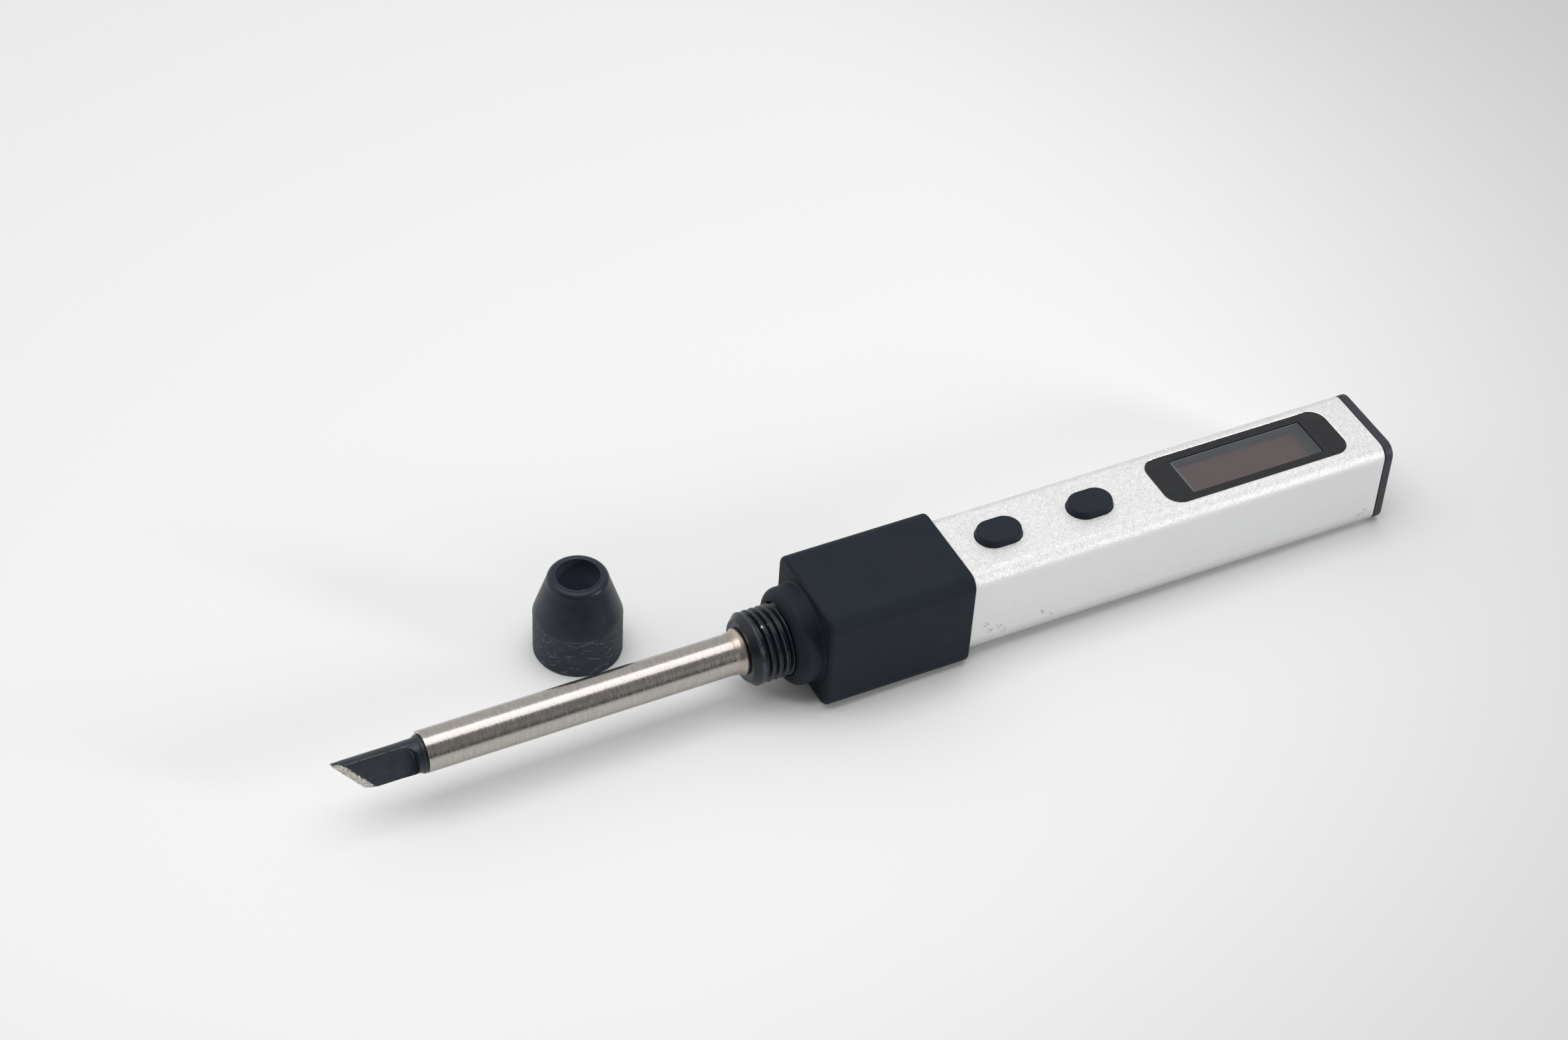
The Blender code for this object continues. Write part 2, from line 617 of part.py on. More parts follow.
def make_button(place, x, parent):
    """Cap with a flange that keeps it under the housing's wall; its origin is on its press axis."""
    half_x, half_y = BUTTON_HALF
    flange_low, flange_high = BUTTON_FLANGE
    wide_x, wide_y = half_x + BUTTON_FLANGE_RIM, half_y + BUTTON_FLANGE_RIM
    sections = [level(0, wide_x, wide_y, wide_y, z) for z in (flange_low, flange_high)]
    for z in (flange_high, BODY_WIDTH / 2 + SEAM):
        sections.append(level(0, half_x, half_y, half_y, z))
    for z, inset in rounding(BUTTON_TOP, BUTTON_ROUND, 1, 3):
        inset += BUTTON_DRAFT
        sections.append(level(0, half_x - inset, half_y - inset, half_y - inset, z))
    button = object_from(f"{place}_button", loft(sections), "black_rubber", parent)
    button.location = (x, 0, 0)


def make_switch(place, x, parent):
    """Tact switch: a body with a round well, and the plunger that the cap presses."""
    low = BOARD_Z[1] + SEAM
    half_x, half_y = SWITCH_HALF
    bm = box((-half_x, -half_y, low), (half_x, half_y, SWITCH_TOP))
    body = object_from(f"{place}_switch_body", bm, "chip_black", parent)
    radius = PLUNGER_RADIUS + 2 * SEAM
    depths = (low + 0.5 * MM, SWITCH_TOP + 1 * MM)
    walls = [level(0, radius, radius, radius, z) for z in depths]
    cut = object_from(f"cut_{place}_switch_well", loft(walls))
    plunger_z = (low + 1.0 * MM, BUTTON_FLANGE[0] - SEAM)
    pin = [level(0, PLUNGER_RADIUS, PLUNGER_RADIUS, PLUNGER_RADIUS, z) for z in plunger_z]
    plunger = object_from(f"{place}_switch_plunger", loft(pin), "capacitor_tan", parent)
    for piece in (body, cut, plunger):
        piece.location = (x, 0, 0)
    combine(body, cut)


# ---- Display ----


def make_display(parent):
    centre, reach = sum(DISPLAY_X) / 2, (DISPLAY_X[1] - DISPLAY_X[0]) / 2 - SEAM
    middle, window = sum(WINDOW_X) / 2, (WINDOW_X[1] - WINDOW_X[0]) / 2
    low, high = BEZEL_Z
    half, corner, edge = DISPLAY_HALF - SEAM, DISPLAY_CORNER - SEAM, BEZEL_EDGE
    ring = [level(centre, reach, half, corner, z) for z in (low, high - edge)]
    ring.append(level(centre, reach - edge, half - edge, corner - edge, high))
    ring += [level(middle, window, WINDOW_HALF, WINDOW_CORNER, z) for z in (high, low)]
    object_from("display_bezel", loft(ring, closed=True), "gloss_black", parent)
    across = (window - SEAM, WINDOW_HALF - SEAM, WINDOW_CORNER - SEAM)
    pane = [level(middle, *across, z) for z in (low + SEAM, high - SEAM / 2)]
    object_from("display_lens", loft(pane), "smoked_glass", parent)


def make_oled(parent):
    """Panel in its tray, and the flat cable that bends down from the panel to the board."""
    centre, reach = sum(OLED_X) / 2, (OLED_X[1] - OLED_X[0]) / 2
    panel = [level(centre, reach, OLED_HALF, 2 * SEAM, z) for z in OLED_Z]
    object_from("oled_panel", loft(panel), "display_glass", parent)
    front, rear = HOLDER_X
    half, above = SPIGOT_WIDTH / 2, HOLDER_TOP + 1 * MM
    tray = box((front, -half, BOARD_Z[1] + GAP), (rear, half, HOLDER_TOP))
    holder = object_from("display_holder", tray, "black_plastic", parent)
    floor, room = OLED_Z[0] - GAP, OLED_HALF + GAP
    pocket = box((OLED_X[0] - GAP, -room, floor), (OLED_X[1] + GAP, room, above))
    combine(holder, object_from("cut_oled_pocket", pocket))
    room = FLEX_HALF + GAP
    notch = box((front - 1 * MM, -room, floor), (OLED_X[0] + 1 * MM, room, above))
    combine(holder, object_from("cut_flex_notch", notch))

    bend, cable_z, foot_z = 0.7 * MM, OLED_Z[0] + 0.3 * MM, BOARD_Z[1] + 0.25 * MM
    path = [(OLED_X[0] - SEAM, cable_z)]
    turn_x = front - 0.6 * MM
    path += arc((turn_x, cable_z - bend), bend, 90, 180, 4)
    path += arc((turn_x - 2 * bend, foot_z + bend), bend, 0, -90, 4)

    def place(x, z, side):
        return Vector((x, (2 * side - 1) * FLEX_HALF, z))

    object_from("oled_flex", strip(path, 0.2 * MM, place), "amber_film", parent)


# ---- Contacts ----


def make_contact_block(parent):
    """Trough in which the clips stand, open at the top."""
    front, rear = NOSE_REAR + GAP, BOARD_X[0] - GAP
    half, top = SPIGOT_WIDTH / 2, 0.7 * MM
    block = object_from(
        "contact_block", box((front, -half, -half), (rear, half, top)), "black_plastic", parent
    )
    hollow, floor = 3.0 * MM, -3.1 * MM
    trough = box((front - 1 * MM, -hollow, floor), (rear + 1 * MM, hollow, top + 1 * MM))
    combine(block, object_from("cut_trough", trough))


def make_contact_clip(name, x, side, parent):
    """Spring strip bent round the stem, whose tail runs back over the board on that side."""
    thickness, half_width, tail_z = CLIP_THICKNESS, 0.7 * MM, CLIP_TAIL_Z
    middle = CLIP_INSIDE + thickness / 2
    path = list(arc((0, 0), middle, 90 + side * 45, 90 + side * 45 + side * 270, 18))
    riser = (path[-1][0], tail_z)
    path.append(riser)

    def place(y, z, edge):
        return Vector((x + (2 * edge - 1) * half_width, y, z))

    clip = object_from(name, strip(path, thickness, place), "brass", parent)
    inner, outer = riser[0] - side * thickness / 2, riser[0] + side * (thickness / 2 + 0.6 * MM)
    low = (x, min(inner, outer), tail_z - thickness)
    tail = box(low, (BOARD_X[0] + 1.6 * MM, max(inner, outer), tail_z))
    combine(clip, object_from(f"join_{name}_tail", tail), "UNION")


def make_end_clip(parent):
    """Third spring strip: it holds the end contact and rises behind it."""
    thickness, half, tail_z = CLIP_THICKNESS, 0.5 * MM, CLIP_TAIL_Z
    middle = CLIP_INSIDE + thickness / 2
    x = STEM_CONTACT_REAR - 0.8 * MM
    path = list(arc((0, 0), middle, 160, 380, 16))

    def place(y, z, edge):
        return Vector((x + (2 * edge - 1) * half, y, z))

    clip = object_from("contact_clip_end", strip(path, thickness, place), "brass", parent)
    bottom, back = -CLIP_INSIDE - thickness, STEM_CONTACT_REAR + 1.4 * MM
    foot = box((x, -half, bottom), (back, half, bottom + thickness))
    combine(clip, object_from("join_end_clip_foot", foot), "UNION")
    post = box((back - thickness, -half, bottom), (back, half, tail_z))
    combine(clip, object_from("join_end_clip_post", post), "UNION")
    low = (back - thickness, -half, tail_z - thickness)
    tail = box(low, (BOARD_X[0] + 1.6 * MM, half, tail_z))
    combine(clip, object_from("join_end_clip_tail", tail), "UNION")


# ---- Circuit board, its carrier and its parts ----


def make_board(parent):
    centre, reach = sum(BOARD_X) / 2, (BOARD_X[1] - BOARD_X[0]) / 2
    corner = 0.5 * MM
    board = [level(centre, reach, BOARD_HALF, corner, z) for z in BOARD_Z]
    object_from("circuit_board", loft(board), "board_green", parent)


def make_carrier(parent):
    """Trough under the board, with a boss for each of the end cap's screws."""
    half, bottom, floor, rail = SPIGOT_WIDTH / 2, CARRIER_BOTTOM, CARRIER_FLOOR, CARRIER_RAIL
    front, rear = BOARD_X[0], CAP_BLOCK_FRONT - GAP
    carrier = object_from(
        "board_carrier",
        box((front, -half, bottom), (rear, half, BOARD_Z[0] - GAP)),
        "black_plastic",
        parent,
    )
    hollow = box((front - 1 * MM, rail - half, floor), (rear + 1 * MM, half - rail, 2 * MM))
    combine(carrier, object_from("cut_carrier_hollow", hollow))
    for place, side in (("near", -1), ("far", 1)):
        inner, outer = side * 2.2 * MM, side * (half - rail / 2)
        low = (CAP_SCREW_FRONT - 1 * MM, min(inner, outer), bottom + SEAM)
        boss = box(low, (rear - SEAM, max(inner, outer), CAP_SCREW[1] + 1.15 * MM))
        combine(carrier, object_from(f"join_carrier_boss_{place}", boss), "UNION")
    for place, side in (("near", -1), ("far", 1)):
        hole = object_from(f"cut_carrier_screw_{place}", turned(cap_screw_profile(SEAM), 20))
        hole.location = (0, side * CAP_SCREW[0], CAP_SCREW[1])
        combine(carrier, hole)


def make_board_parts(parent):
    top, under = BOARD_Z[1] + SEAM, BOARD_Z[0] - SEAM
    parts = (
        ("controller_chip", 48.6, 0.0, (4.4, 4.4), (top, 0.9), "chip_black"),
        ("power_mosfet", 33.0, 0.0, (5.0, 5.0), (under, -1.0), "chip_black"),
        ("power_inductor", 53.0, 0.0, (6.2, 6.0), (under, -3.0), "chip_black"),
        ("usb_power_chip", 72.5, 0.0, (4.0, 4.0), (under, -0.9), "chip_black"),
        ("motion_sensor", 24.6, 0.0, (2.0, 2.0), (under, -0.8), "chip_black"),
        ("input_capacitor_near", 62.0, -2.0, (5.0, 3.2), (under, -2.5), "capacitor_tan"),
        ("input_capacitor_far", 62.0, 2.0, (5.0, 3.2), (under, -2.5), "capacitor_tan"),
    )
    for name, x, y, (length, width), (base, rise), finish in parts:
        z_low, z_high = sorted((base, base + rise * MM))
        low = ((x - length / 2) * MM, (y - width / 2) * MM, z_low)
        high = ((x + length / 2) * MM, (y + width / 2) * MM, z_high)
        soften(object_from(name, box(low, high), finish, parent), 0.15 * MM)


def make_socket(parent):
    """USB-C socket: its drawn shell, and the tongue with its base block inside it."""
    half_y, half_z = SOCKET_HALF
    front, rear = SOCKET_X

    def stadium(x, inset):
        points = outline(half_y - inset, half_z - inset, half_z - inset)
        return [Vector((x, y, SOCKET_Z + z)) for y, z in points]

    shell = [stadium(front, SOCKET_WALL), stadium(front, 0.0), stadium(rear - SEAM, 0.0)]
    shell += [stadium(rear, SEAM), stadium(rear, SOCKET_WALL)]
    object_from("usb_socket_shell", loft(shell, closed=True), "steel", parent)
    inset = SOCKET_WALL + SEAM
    block = [stadium(front + SEAM, inset), stadium(front + 1.5 * MM, inset)]
    tongue = object_from("usb_socket_tongue", loft(block), "black_plastic", parent)
    blade_half, blade_rise = 3.35 * MM, 0.35 * MM
    low = (front + 0.5 * MM, -blade_half, SOCKET_Z - blade_rise)
    high = (rear - 0.7 * MM, blade_half, SOCKET_Z + blade_rise)
    combine(tongue, object_from("join_tongue_blade", box(low, high)), "UNION")


def main():
    clear_scene()
    pen = bpy.data.objects.new("pen_axis", None)
    bpy.context.scene.collection.objects.link(pen)
    pen.location = (PEN_X, PEN_Y, PEN_HEIGHT)
    pen.rotation_euler = (0, TILT, 0)

    make_knife_tip(pen)
    make_barrel(pen)
    make_heater(pen)
    make_stem(pen)
    make_nose(pen)
    make_sleeve(pen)
    make_nut()
    make_housing(pen)
    make_end_cap(pen)
    for place, x in BUTTONS:
        make_button(place, x, pen)
        make_switch(place, x, pen)
    make_display(pen)
    make_oled(pen)
    make_contact_block(pen)
    make_contact_clip("contact_clip_front", STEM_RINGS[0], 1, pen)
    make_contact_clip("contact_clip_middle", STEM_RINGS[1], -1, pen)
    make_end_clip(pen)
    make_board(pen)
    make_carrier(pen)
    make_board_parts(pen)
    make_socket(pen)


main()
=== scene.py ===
"""Looks of a pen soldering iron and its loose retaining nut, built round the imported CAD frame.

Metres, +Z up.  Visible pieces are made in the pen's own frame: x runs along the pen from tip to
end cap with x = 0 at the sleeve's square front face, z is square to the face with the display,
and -y is the plain side.  The nut is built along x from its base and then stood up.
"""

import json
import math

import bmesh
import bpy
from mathutils import Matrix, Vector, noise


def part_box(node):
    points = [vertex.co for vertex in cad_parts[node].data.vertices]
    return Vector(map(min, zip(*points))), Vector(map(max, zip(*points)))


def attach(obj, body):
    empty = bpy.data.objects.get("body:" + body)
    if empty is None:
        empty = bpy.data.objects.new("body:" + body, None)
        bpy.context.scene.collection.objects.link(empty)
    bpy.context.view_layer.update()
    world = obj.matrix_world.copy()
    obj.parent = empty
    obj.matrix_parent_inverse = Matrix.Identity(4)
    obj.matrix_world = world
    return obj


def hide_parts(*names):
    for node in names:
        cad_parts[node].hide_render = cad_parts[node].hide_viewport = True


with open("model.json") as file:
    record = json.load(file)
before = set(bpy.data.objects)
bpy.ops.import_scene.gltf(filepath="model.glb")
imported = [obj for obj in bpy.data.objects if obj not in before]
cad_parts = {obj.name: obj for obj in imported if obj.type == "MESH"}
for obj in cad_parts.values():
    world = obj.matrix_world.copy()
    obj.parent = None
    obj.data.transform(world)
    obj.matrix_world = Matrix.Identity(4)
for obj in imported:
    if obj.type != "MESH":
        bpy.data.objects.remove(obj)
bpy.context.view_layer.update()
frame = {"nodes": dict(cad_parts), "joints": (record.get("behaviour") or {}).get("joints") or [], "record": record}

MM = 0.001
RECORD = frame["record"]
BODY_OF = {node: body for body, nodes in RECORD["behaviour"]["bodies"].items() for node in nodes}
SLOT_OF = {row["node"]: row["material_slot"] for row in RECORD["subparts"]}

# ---- The pen's frame, from the record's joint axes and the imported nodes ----


def joint_axis(name):
    return Vector(next(joint for joint in frame["joints"] if joint["name"] == name)["axis"])


ALONG = -joint_axis("cartridge_pull")
UPWARD = -joint_axis("front_button_press")
TURN = Matrix((ALONG, UPWARD.cross(ALONG), UPWARD)).transposed()
CAP_REAR = 86.3 * MM


def box_in(matrix, node):
    """Lowest and highest corner of a CAD node in the frame that matrix places."""
    inverse = matrix.inverted()
    points = [inverse @ vert.co for vert in frame["nodes"][node].data.vertices]
    low = Vector(min(point[k] for point in points) for k in range(3))
    high = Vector(max(point[k] for point in points) for k in range(3))
    return low, high


def pen_frame():
    turn = TURN.to_4x4()
    low, high = box_in(turn, "housing")
    rear = box_in(turn, "end_cap")[1].x
    origin = Vector((rear - CAP_REAR, (low.y + high.y) / 2, (low.z + high.z) / 2))
    return Matrix.Translation(TURN @ origin) @ turn


PEN = pen_frame()


def pen_box(node):
    return box_in(PEN, node)


def middle_of(node):
    """Centre and half size of a CAD node in the pen's frame."""
    low, high = pen_box(node)
    return (low + high) / 2, (high - low) / 2


def nut_frame():
    low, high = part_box("retaining_nut")
    centre = (low + high) / 2
    return Matrix.Translation((centre.x, centre.y, low.z)) @ Matrix.Rotation(-math.pi / 2, 4, "Y")


NUT = nut_frame()

# ---- Shape details that the boxes don't give ----

SEAM = 0.1 * MM
FINE_SEAM = 0.03 * MM
CORNER_STEPS = 15
FINE_STEPS = 2 * CORNER_STEPS + 1
HOLE_STEPS = 7
PAST = 1.0 * MM  # how far a cutter stands out of what it cuts
BODY_CORNER = 1.9 * MM
WALL = 1.2 * MM
HOUSING_EDGE = 0.12 * MM
OPENING_EDGE = 0.10 * MM
SPIGOT_WIDTH = 10.4 * MM
SPIGOT_CORNER = 0.6 * MM
FLANGE_FRONT = 85.0 * MM
CAP_ROUND = 0.25 * MM
CAP_SCREW_HOLE = 0.8 * MM
CAP_SCREW_SEAT = (1.1 * MM, 0.9 * MM)
SOCKET_GAP = 3 * SEAM
SOCKET_LIP = 0.25 * MM
SLEEVE_CORNER = 1.95 * MM
SLEEVE_RIM_ROUND = 0.4 * MM
SLEEVE_FRONT_ROUND = 0.55 * MM
SLEEVE_FRONT_WALL = 0.95 * MM
NECK_RADIUS = 6.6 * MM
NECK_ROUND = 1.4 * MM
NECK_FILLET = 0.35 * MM
NECK_HOLE = 5.05 * MM
PITCH = 1.0 * MM
THREAD_FORM = (
    (0.0, 1.0), (0.03, 0.95), (0.28, 0.07), (0.33, 0.0),
    (0.54, 0.0), (0.59, 0.07), (0.84, 0.95), (0.87, 1.0),
)  # share of a turn; 1 is the larger radius
NOSE_CREST = 4.9 * MM
NOSE_ROOT = 4.36 * MM
NOSE_RELIEF = 4.25 * MM
NOSE_RELIEF_FRONT = -0.9 * MM
NOSE_CHAMFER = 0.9 * MM
NOSE_THREAD_FRONT = -8.0 * MM
NOSE_TURNS = 5
NOSE_LIP = 4.15 * MM
NOSE_BORE = 2.2 * MM
NOSE_FLANGE = (1.2 * MM, 2.1 * MM)
LAND = 0.03 * MM
SCREW_X = 6.5 * MM
SCREW_HOLE = 1.0 * MM
SCREW_SEAT = 0.95 * MM
SCREW_HEAD = 1.9 * MM
BARREL_RADIUS = 2.75 * MM
BARREL_INSIDE = 2.4 * MM
BARREL_CHAMFER = 0.03 * MM
FLARE_LENGTH = 1.4 * MM
FLARE_STEP = 0.06 * MM
FLARE_LIP = 0.3 * MM
TIP_COLLAR = 2.5 * MM
TIP_COLLAR_FRONT = -53.55 * MM
TIP_NECK_FRONT = -54.3 * MM
TIP_HEEL_X = -61.0 * MM
BLADE_RADIUS = 2.27 * MM
BLADE_DROP = 0.22 * MM
BLADE_HALF_THICKNESS = 0.79 * MM
BLADE_EDGE_HALF = 0.16 * MM
BLADE_TIP_ROUND = 0.42 * MM
BLADE_NOSE = 0.8 * MM
BLADE_NOSE_HALF = 0.42 * MM
BLADE_EDGE_ASIDE = 0.3 * MM
BLADE_BEVEL = 1.5 * MM
BLADE_WEAR = 0.045 * MM
BLADE_ROLL = math.radians(19.0)
FLAT_CENTRE = (-56.7 * MM, -0.22 * MM)
FLAT_RADIUS = 2.15 * MM
FLAT_FILLET = 0.58 * MM
NUT_RADIUS = 5.97 * MM
NUT_BAND = 6.3 * MM
NUT_RIM = 4.1 * MM
NUT_RIM_ROUND = 0.8 * MM
NUT_HOLE = 2.93 * MM
NUT_HOLE_EDGE = 0.2 * MM
NUT_SHOULDER = 6.0 * MM
NUT_THREAD = (4.46 * MM, 5.0 * MM)
NUT_THREAD_X = (0.25 * MM, 5.75 * MM)
NUT_THREAD_LEAD = 0.3 * MM
NUT_TURNS = 4
NUT_CHAMFER = 0.15 * MM
NUT_SEAM = 0.12 * MM
NUT_WOBBLE = 0.05 * MM
NUT_SEAM_EDGE = ((0.0, 0.01 * MM), (0.05 * MM, 0.02 * MM))
KNURL_COUNT = 11
KNURL_PITCH = 1.35 * MM
KNURL_INSET = 0.035 * MM
KNURL_CUT = 0.05 * MM
KNURL_ROUGH = 0.02 * MM
BUTTONS = ("front_button", "rear_button")
BUTTON_HALF = (3.25 * MM, 2.3 * MM)
BUTTON_FLANGE_HIGH = 5.2 * MM
BUTTON_ROUND = 0.3 * MM
BUTTON_DRAFT = 0.1 * MM
BUTTON_GAP = 0.6 * SEAM
DISPLAY_CORNER = 2.3 * MM
WINDOW_CORNER = 0.4 * MM
WINDOW_LIP = 0.02 * MM
PANE_BEVEL = 0.1 * MM
BEZEL_EDGE = 0.12 * MM
BEZEL_UNDERCUT = 1.0 * MM

SCUFFS = (
    (23.7, -2.1), (24.5, -3.45), (25.8, -3.2), (26.5, -4.2),
    (32.3, -3.1), (33.5, -4.1), (82.2, -4.0), (83.1, -3.7),
)  # along the pen and up, in mm

NUT_NICK_TURN = math.radians(185.0)
NOSE_SCRATCH = ((-7.15 * MM, -1.42 * MM, 4.69 * MM), (-6.1 * MM, -1.2 * MM, 4.7 * MM))

# ---- Camera, floor and light ----

CAMERA_AT = (-0.177611, -0.303402, 0.347374)
CAMERA_RIGHT = (0.892596, -0.449020, 0.040670)
CAMERA_UP = (0.281925, 0.626260, 0.726849)
LENS = 85.27
SENSOR = 36.0


def make_camera():
    right, up = Vector(CAMERA_RIGHT), Vector(CAMERA_UP)
    data = bpy.data.cameras.new("camera")
    data.lens, data.sensor_width = LENS, SENSOR
    data.clip_start, data.clip_end = 0.01, 20.0
    camera = bpy.data.objects.new("camera", data)
    bpy.context.scene.collection.objects.link(camera)
    turn = Matrix((right, up, right.cross(up))).transposed()
    camera.matrix_world = Matrix.Translation(CAMERA_AT) @ turn.to_4x4()
    bpy.context.scene.camera = camera


def area_light(name, at, aim, size, power):
    data = bpy.data.lights.new(name, "AREA")
    data.shape, data.energy = "RECTANGLE", power
    data.size, data.size_y = size
    lamp = bpy.data.objects.new(name, data)
    bpy.context.scene.collection.objects.link(lamp)
    lamp.location = at
    lamp.rotation_euler = (Vector(aim) - Vector(at)).to_track_quat("-Z", "Y").to_euler()


# ---- Node trees ----


class Tree:
    """A node tree, with short ways to add to it.  Places are in metres."""

    def __init__(self, owner):
        owner.use_nodes = True
        self.nodes = owner.node_tree.nodes
        self.links = owner.node_tree.links

    def give(self, node, values):
        """Sets or links sockets by name; an underscore stands for a space."""
        for key, value in values.items():
            socket = node.inputs[key.replace("_", " ")] if isinstance(key, str) else node.inputs[key]
            if isinstance(value, bpy.types.NodeSocket):
                self.links.new(value, socket)
            elif isinstance(value, tuple) and socket.type == "RGBA":
                socket.default_value = (*value[:3], 1.0)
            else:
                socket.default_value = value

    def place(self, kind="Object"):
        return self.nodes.new("ShaderNodeTexCoord").outputs[kind]

    def mapped(self, **values):
        """Places moved, turned or stretched by the values."""
        node = self.nodes.new("ShaderNodeMapping")
        self.give(node, {"Vector": self.place(), **values})
        return node.outputs["Vector"]

    def noise(self, size, detail=2.0, roughness=0.5, vector=None):
        """Noise whose lumps are about size metres across, or size of the stretched vector."""
        node = self.nodes.new("ShaderNodeTexNoise")
        values = {"Vector": vector or self.place(), "Scale": 1.0 / size}
        self.give(node, {**values, "Detail": detail, "Roughness": roughness})
        return node.outputs[0]

    def cloud(self, size, detail=2.0, low=0.3, high=0.7, *out):
        """Noise in soft patches: 0 below low and 1 above high, or the two out values."""
        return self.ramp(self.noise(size, detail), low, high, *out)

    def cells(self, size, output="Distance"):
        node = self.nodes.new("ShaderNodeTexVoronoi")
        self.give(node, {"Vector": self.place(), "Scale": 1.0 / size})
        return node.outputs[output]

    def maths(self, operation, *values):
        node = self.nodes.new("ShaderNodeMath")
        node.operation = operation
        self.give(node, dict(enumerate(values)))
        return node.outputs[0]

    def most(self, first, second):
        return self.maths("MAXIMUM", first, second)

    def apart(self, first, second):
        """How far two values are apart, either way."""
        return self.maths("ABSOLUTE", self.maths("SUBTRACT", first, second))

    def ramp(self, value, low, high, out_low=0.0, out_high=1.0):
        """Smooth step of value from low to high."""
        node = self.nodes.new("ShaderNodeMapRange")
        node.interpolation_type = "SMOOTHSTEP"
        self.give(node, {"Value": value, "From_Min": low, "From_Max": high})
        self.give(node, {"To_Min": out_low, "To_Max": out_high})
        return node.outputs[0]

    def parts(self, vector=None):
        node = self.nodes.new("ShaderNodeSeparateXYZ")
        self.give(node, {"Vector": vector or self.place()})
        return node.outputs

    def radial(self, across, up):
        """Distance from the axis along x, given the two places across it."""
        squares = [self.maths("POWER", self.maths("ABSOLUTE", value), 2.0) for value in (across, up)]
        return self.maths("SQRT", self.maths("ADD", *squares))

    def both(self, *values):
        """Product of all the values."""
        product = values[0]
        for value in values[1:]:
            product = self.maths("MULTIPLY", product, value)
        return product

    def near(self, spot, radius):
        """1 at the spot, falling to 0 at that distance from it."""
        node = self.nodes.new("ShaderNodeVectorMath")
        node.operation = "DISTANCE"
        self.give(node, {0: self.place(), 1: spot})
        return self.ramp(node.outputs["Value"], radius, 0.0)

    def blend(self, factor, first, second):
        node = self.nodes.new("ShaderNodeMix")
        node.data_type = "RGBA"
        self.give(node, {0: factor, 6: first, 7: second})
        return node.outputs[2]

    def bump(self, height, distance):
        node = self.nodes.new("ShaderNodeBump")
        self.give(node, {"Height": height, "Distance": distance, "Strength": 1.0})
        return node.outputs["Normal"]


class Finish(Tree):
    """One material: the settings are the sockets that stay constant, done() links the rest."""

    def __init__(self, name, **settings):
        self.material = bpy.data.materials.new(name)
        super().__init__(self.material)
        self.shader = self.nodes["Principled BSDF"]
        self.give(self.shader, settings)

    def done(self, **values):
        self.give(self.shader, values)
        return self.material


# ---- Materials ----


def aluminium():
    """Bead-blasted and anodised: a fine grain, coarser on the top, with painted glints and painted light on the
    top, painted shade underneath and low on the sides, and a smoother cut edge lightened as a painted highlight.
    """
    made = Finish("bead_blasted_aluminium", Metallic=1.0)
    facing = made.parts(made.place("Normal"))["Z"]
    top = made.ramp(facing, 0.15, 0.6)
    grain = made.noise(0.14 * MM, 3.0, 0.7)
    fine = made.parts(made.cells(0.15 * MM, "Color"))["X"]
    coarse = made.parts(made.cells(0.26 * MM, "Color"))["Y"]
    # Bright cells on the top are painted glints of the blasted grain; dull cells are darker grain.
    painted_glints = made.most(made.ramp(fine, 0.80, 0.95), made.ramp(coarse, 0.88, 0.97))
    dull = made.most(made.ramp(fine, 0.18, 0.04), made.ramp(coarse, 0.10, 0.02))
    smooth = made.blend(made.ramp(grain, 0.3, 0.7), (0.765, 0.77, 0.775), (0.815, 0.815, 0.815))
    # The top's blasted tone is lighter than the sides': partly its coarser grain, partly painted light on the top.
    blasted_with_painted_light = made.blend(made.ramp(grain, 0.3, 0.7), (0.74, 0.742, 0.74), (0.90, 0.90, 0.895))
    body = made.blend(top, smooth, blasted_with_painted_light)
    body = made.blend(made.both(painted_glints, top, 0.6), body, (1.0, 1.0, 0.99))
    body = made.blend(made.both(dull, top, 0.28), body, (0.46, 0.46, 0.47))
    # Painted shade: darker on faces that look down and on the lowest 1.5 mm of the sides, where the floor's shade
    # falls.
    painted_under_shade = made.ramp(facing, -0.05, -0.5)
    side = pen_box("housing")[0]
    low = made.ramp(made.parts()["Z"], side.z + 3.0 * MM, side.z + 1.5 * MM)
    painted_under_shade = made.most(painted_under_shade, made.both(low, 0.6))
    body = made.blend(painted_under_shade, body, (0.58, 0.585, 0.59))
    body = made.blend(scuffs(made), body, (0.30, 0.30, 0.31))
    # The rounded edge of the display opening is smoother, and its colour is lightened as a painted highlight.
    edge = opening_edge(made)
    body = made.blend(edge, body, (0.97, 0.97, 0.96))
    depth = made.both(made.ramp(top, 0.0, 1.0, 0.25, 1.0), made.maths("SUBTRACT", 1.0, edge))
    height = made.both(made.maths("ADD", grain, made.cells(0.15 * MM)), depth)
    roughness = made.cloud(2.5 * MM, 2.0, 0.3, 0.7, 0.55, 0.62)
    roughness = made.maths("SUBTRACT", roughness, made.both(edge, 0.3))
    return made.done(Base_Color=body, Roughness=roughness, Normal=made.bump(height, 0.03 * MM))


def opening_edge(made):
    """1 on the rounded edge of the display's opening, from the distance to its outline."""
    centre, reach = middle_of("display_bezel")
    spot = made.parts()
    over = []
    for at, middle, half in ((spot["X"], centre.x, reach.x), (spot["Y"], 0.0, reach.y)):
        past_straight = made.maths("SUBTRACT", made.apart(at, middle), half + SEAM - DISPLAY_CORNER)
        over.append(made.most(past_straight, 0.0))
    away = made.apart(made.radial(*over), DISPLAY_CORNER + OPENING_EDGE / 2)
    return made.ramp(away, 0.8 * OPENING_EDGE, 0.5 * OPENING_EDGE)


def scuffs(made):
    """Small rubbed marks low on the plain side, by the sleeve and by the end cap."""
    side = pen_box("housing")[0].y
    marks = 0.0
    for x, z in SCUFFS:
        marks = made.most(marks, made.near((x * MM, side, z * MM), 0.8 * MM))
    ragged = made.ramp(made.noise(0.35 * MM, 4.0, 0.7), 0.50, 0.60)
    return made.both(made.ramp(marks, 0.15, 0.6), ragged, 0.8)


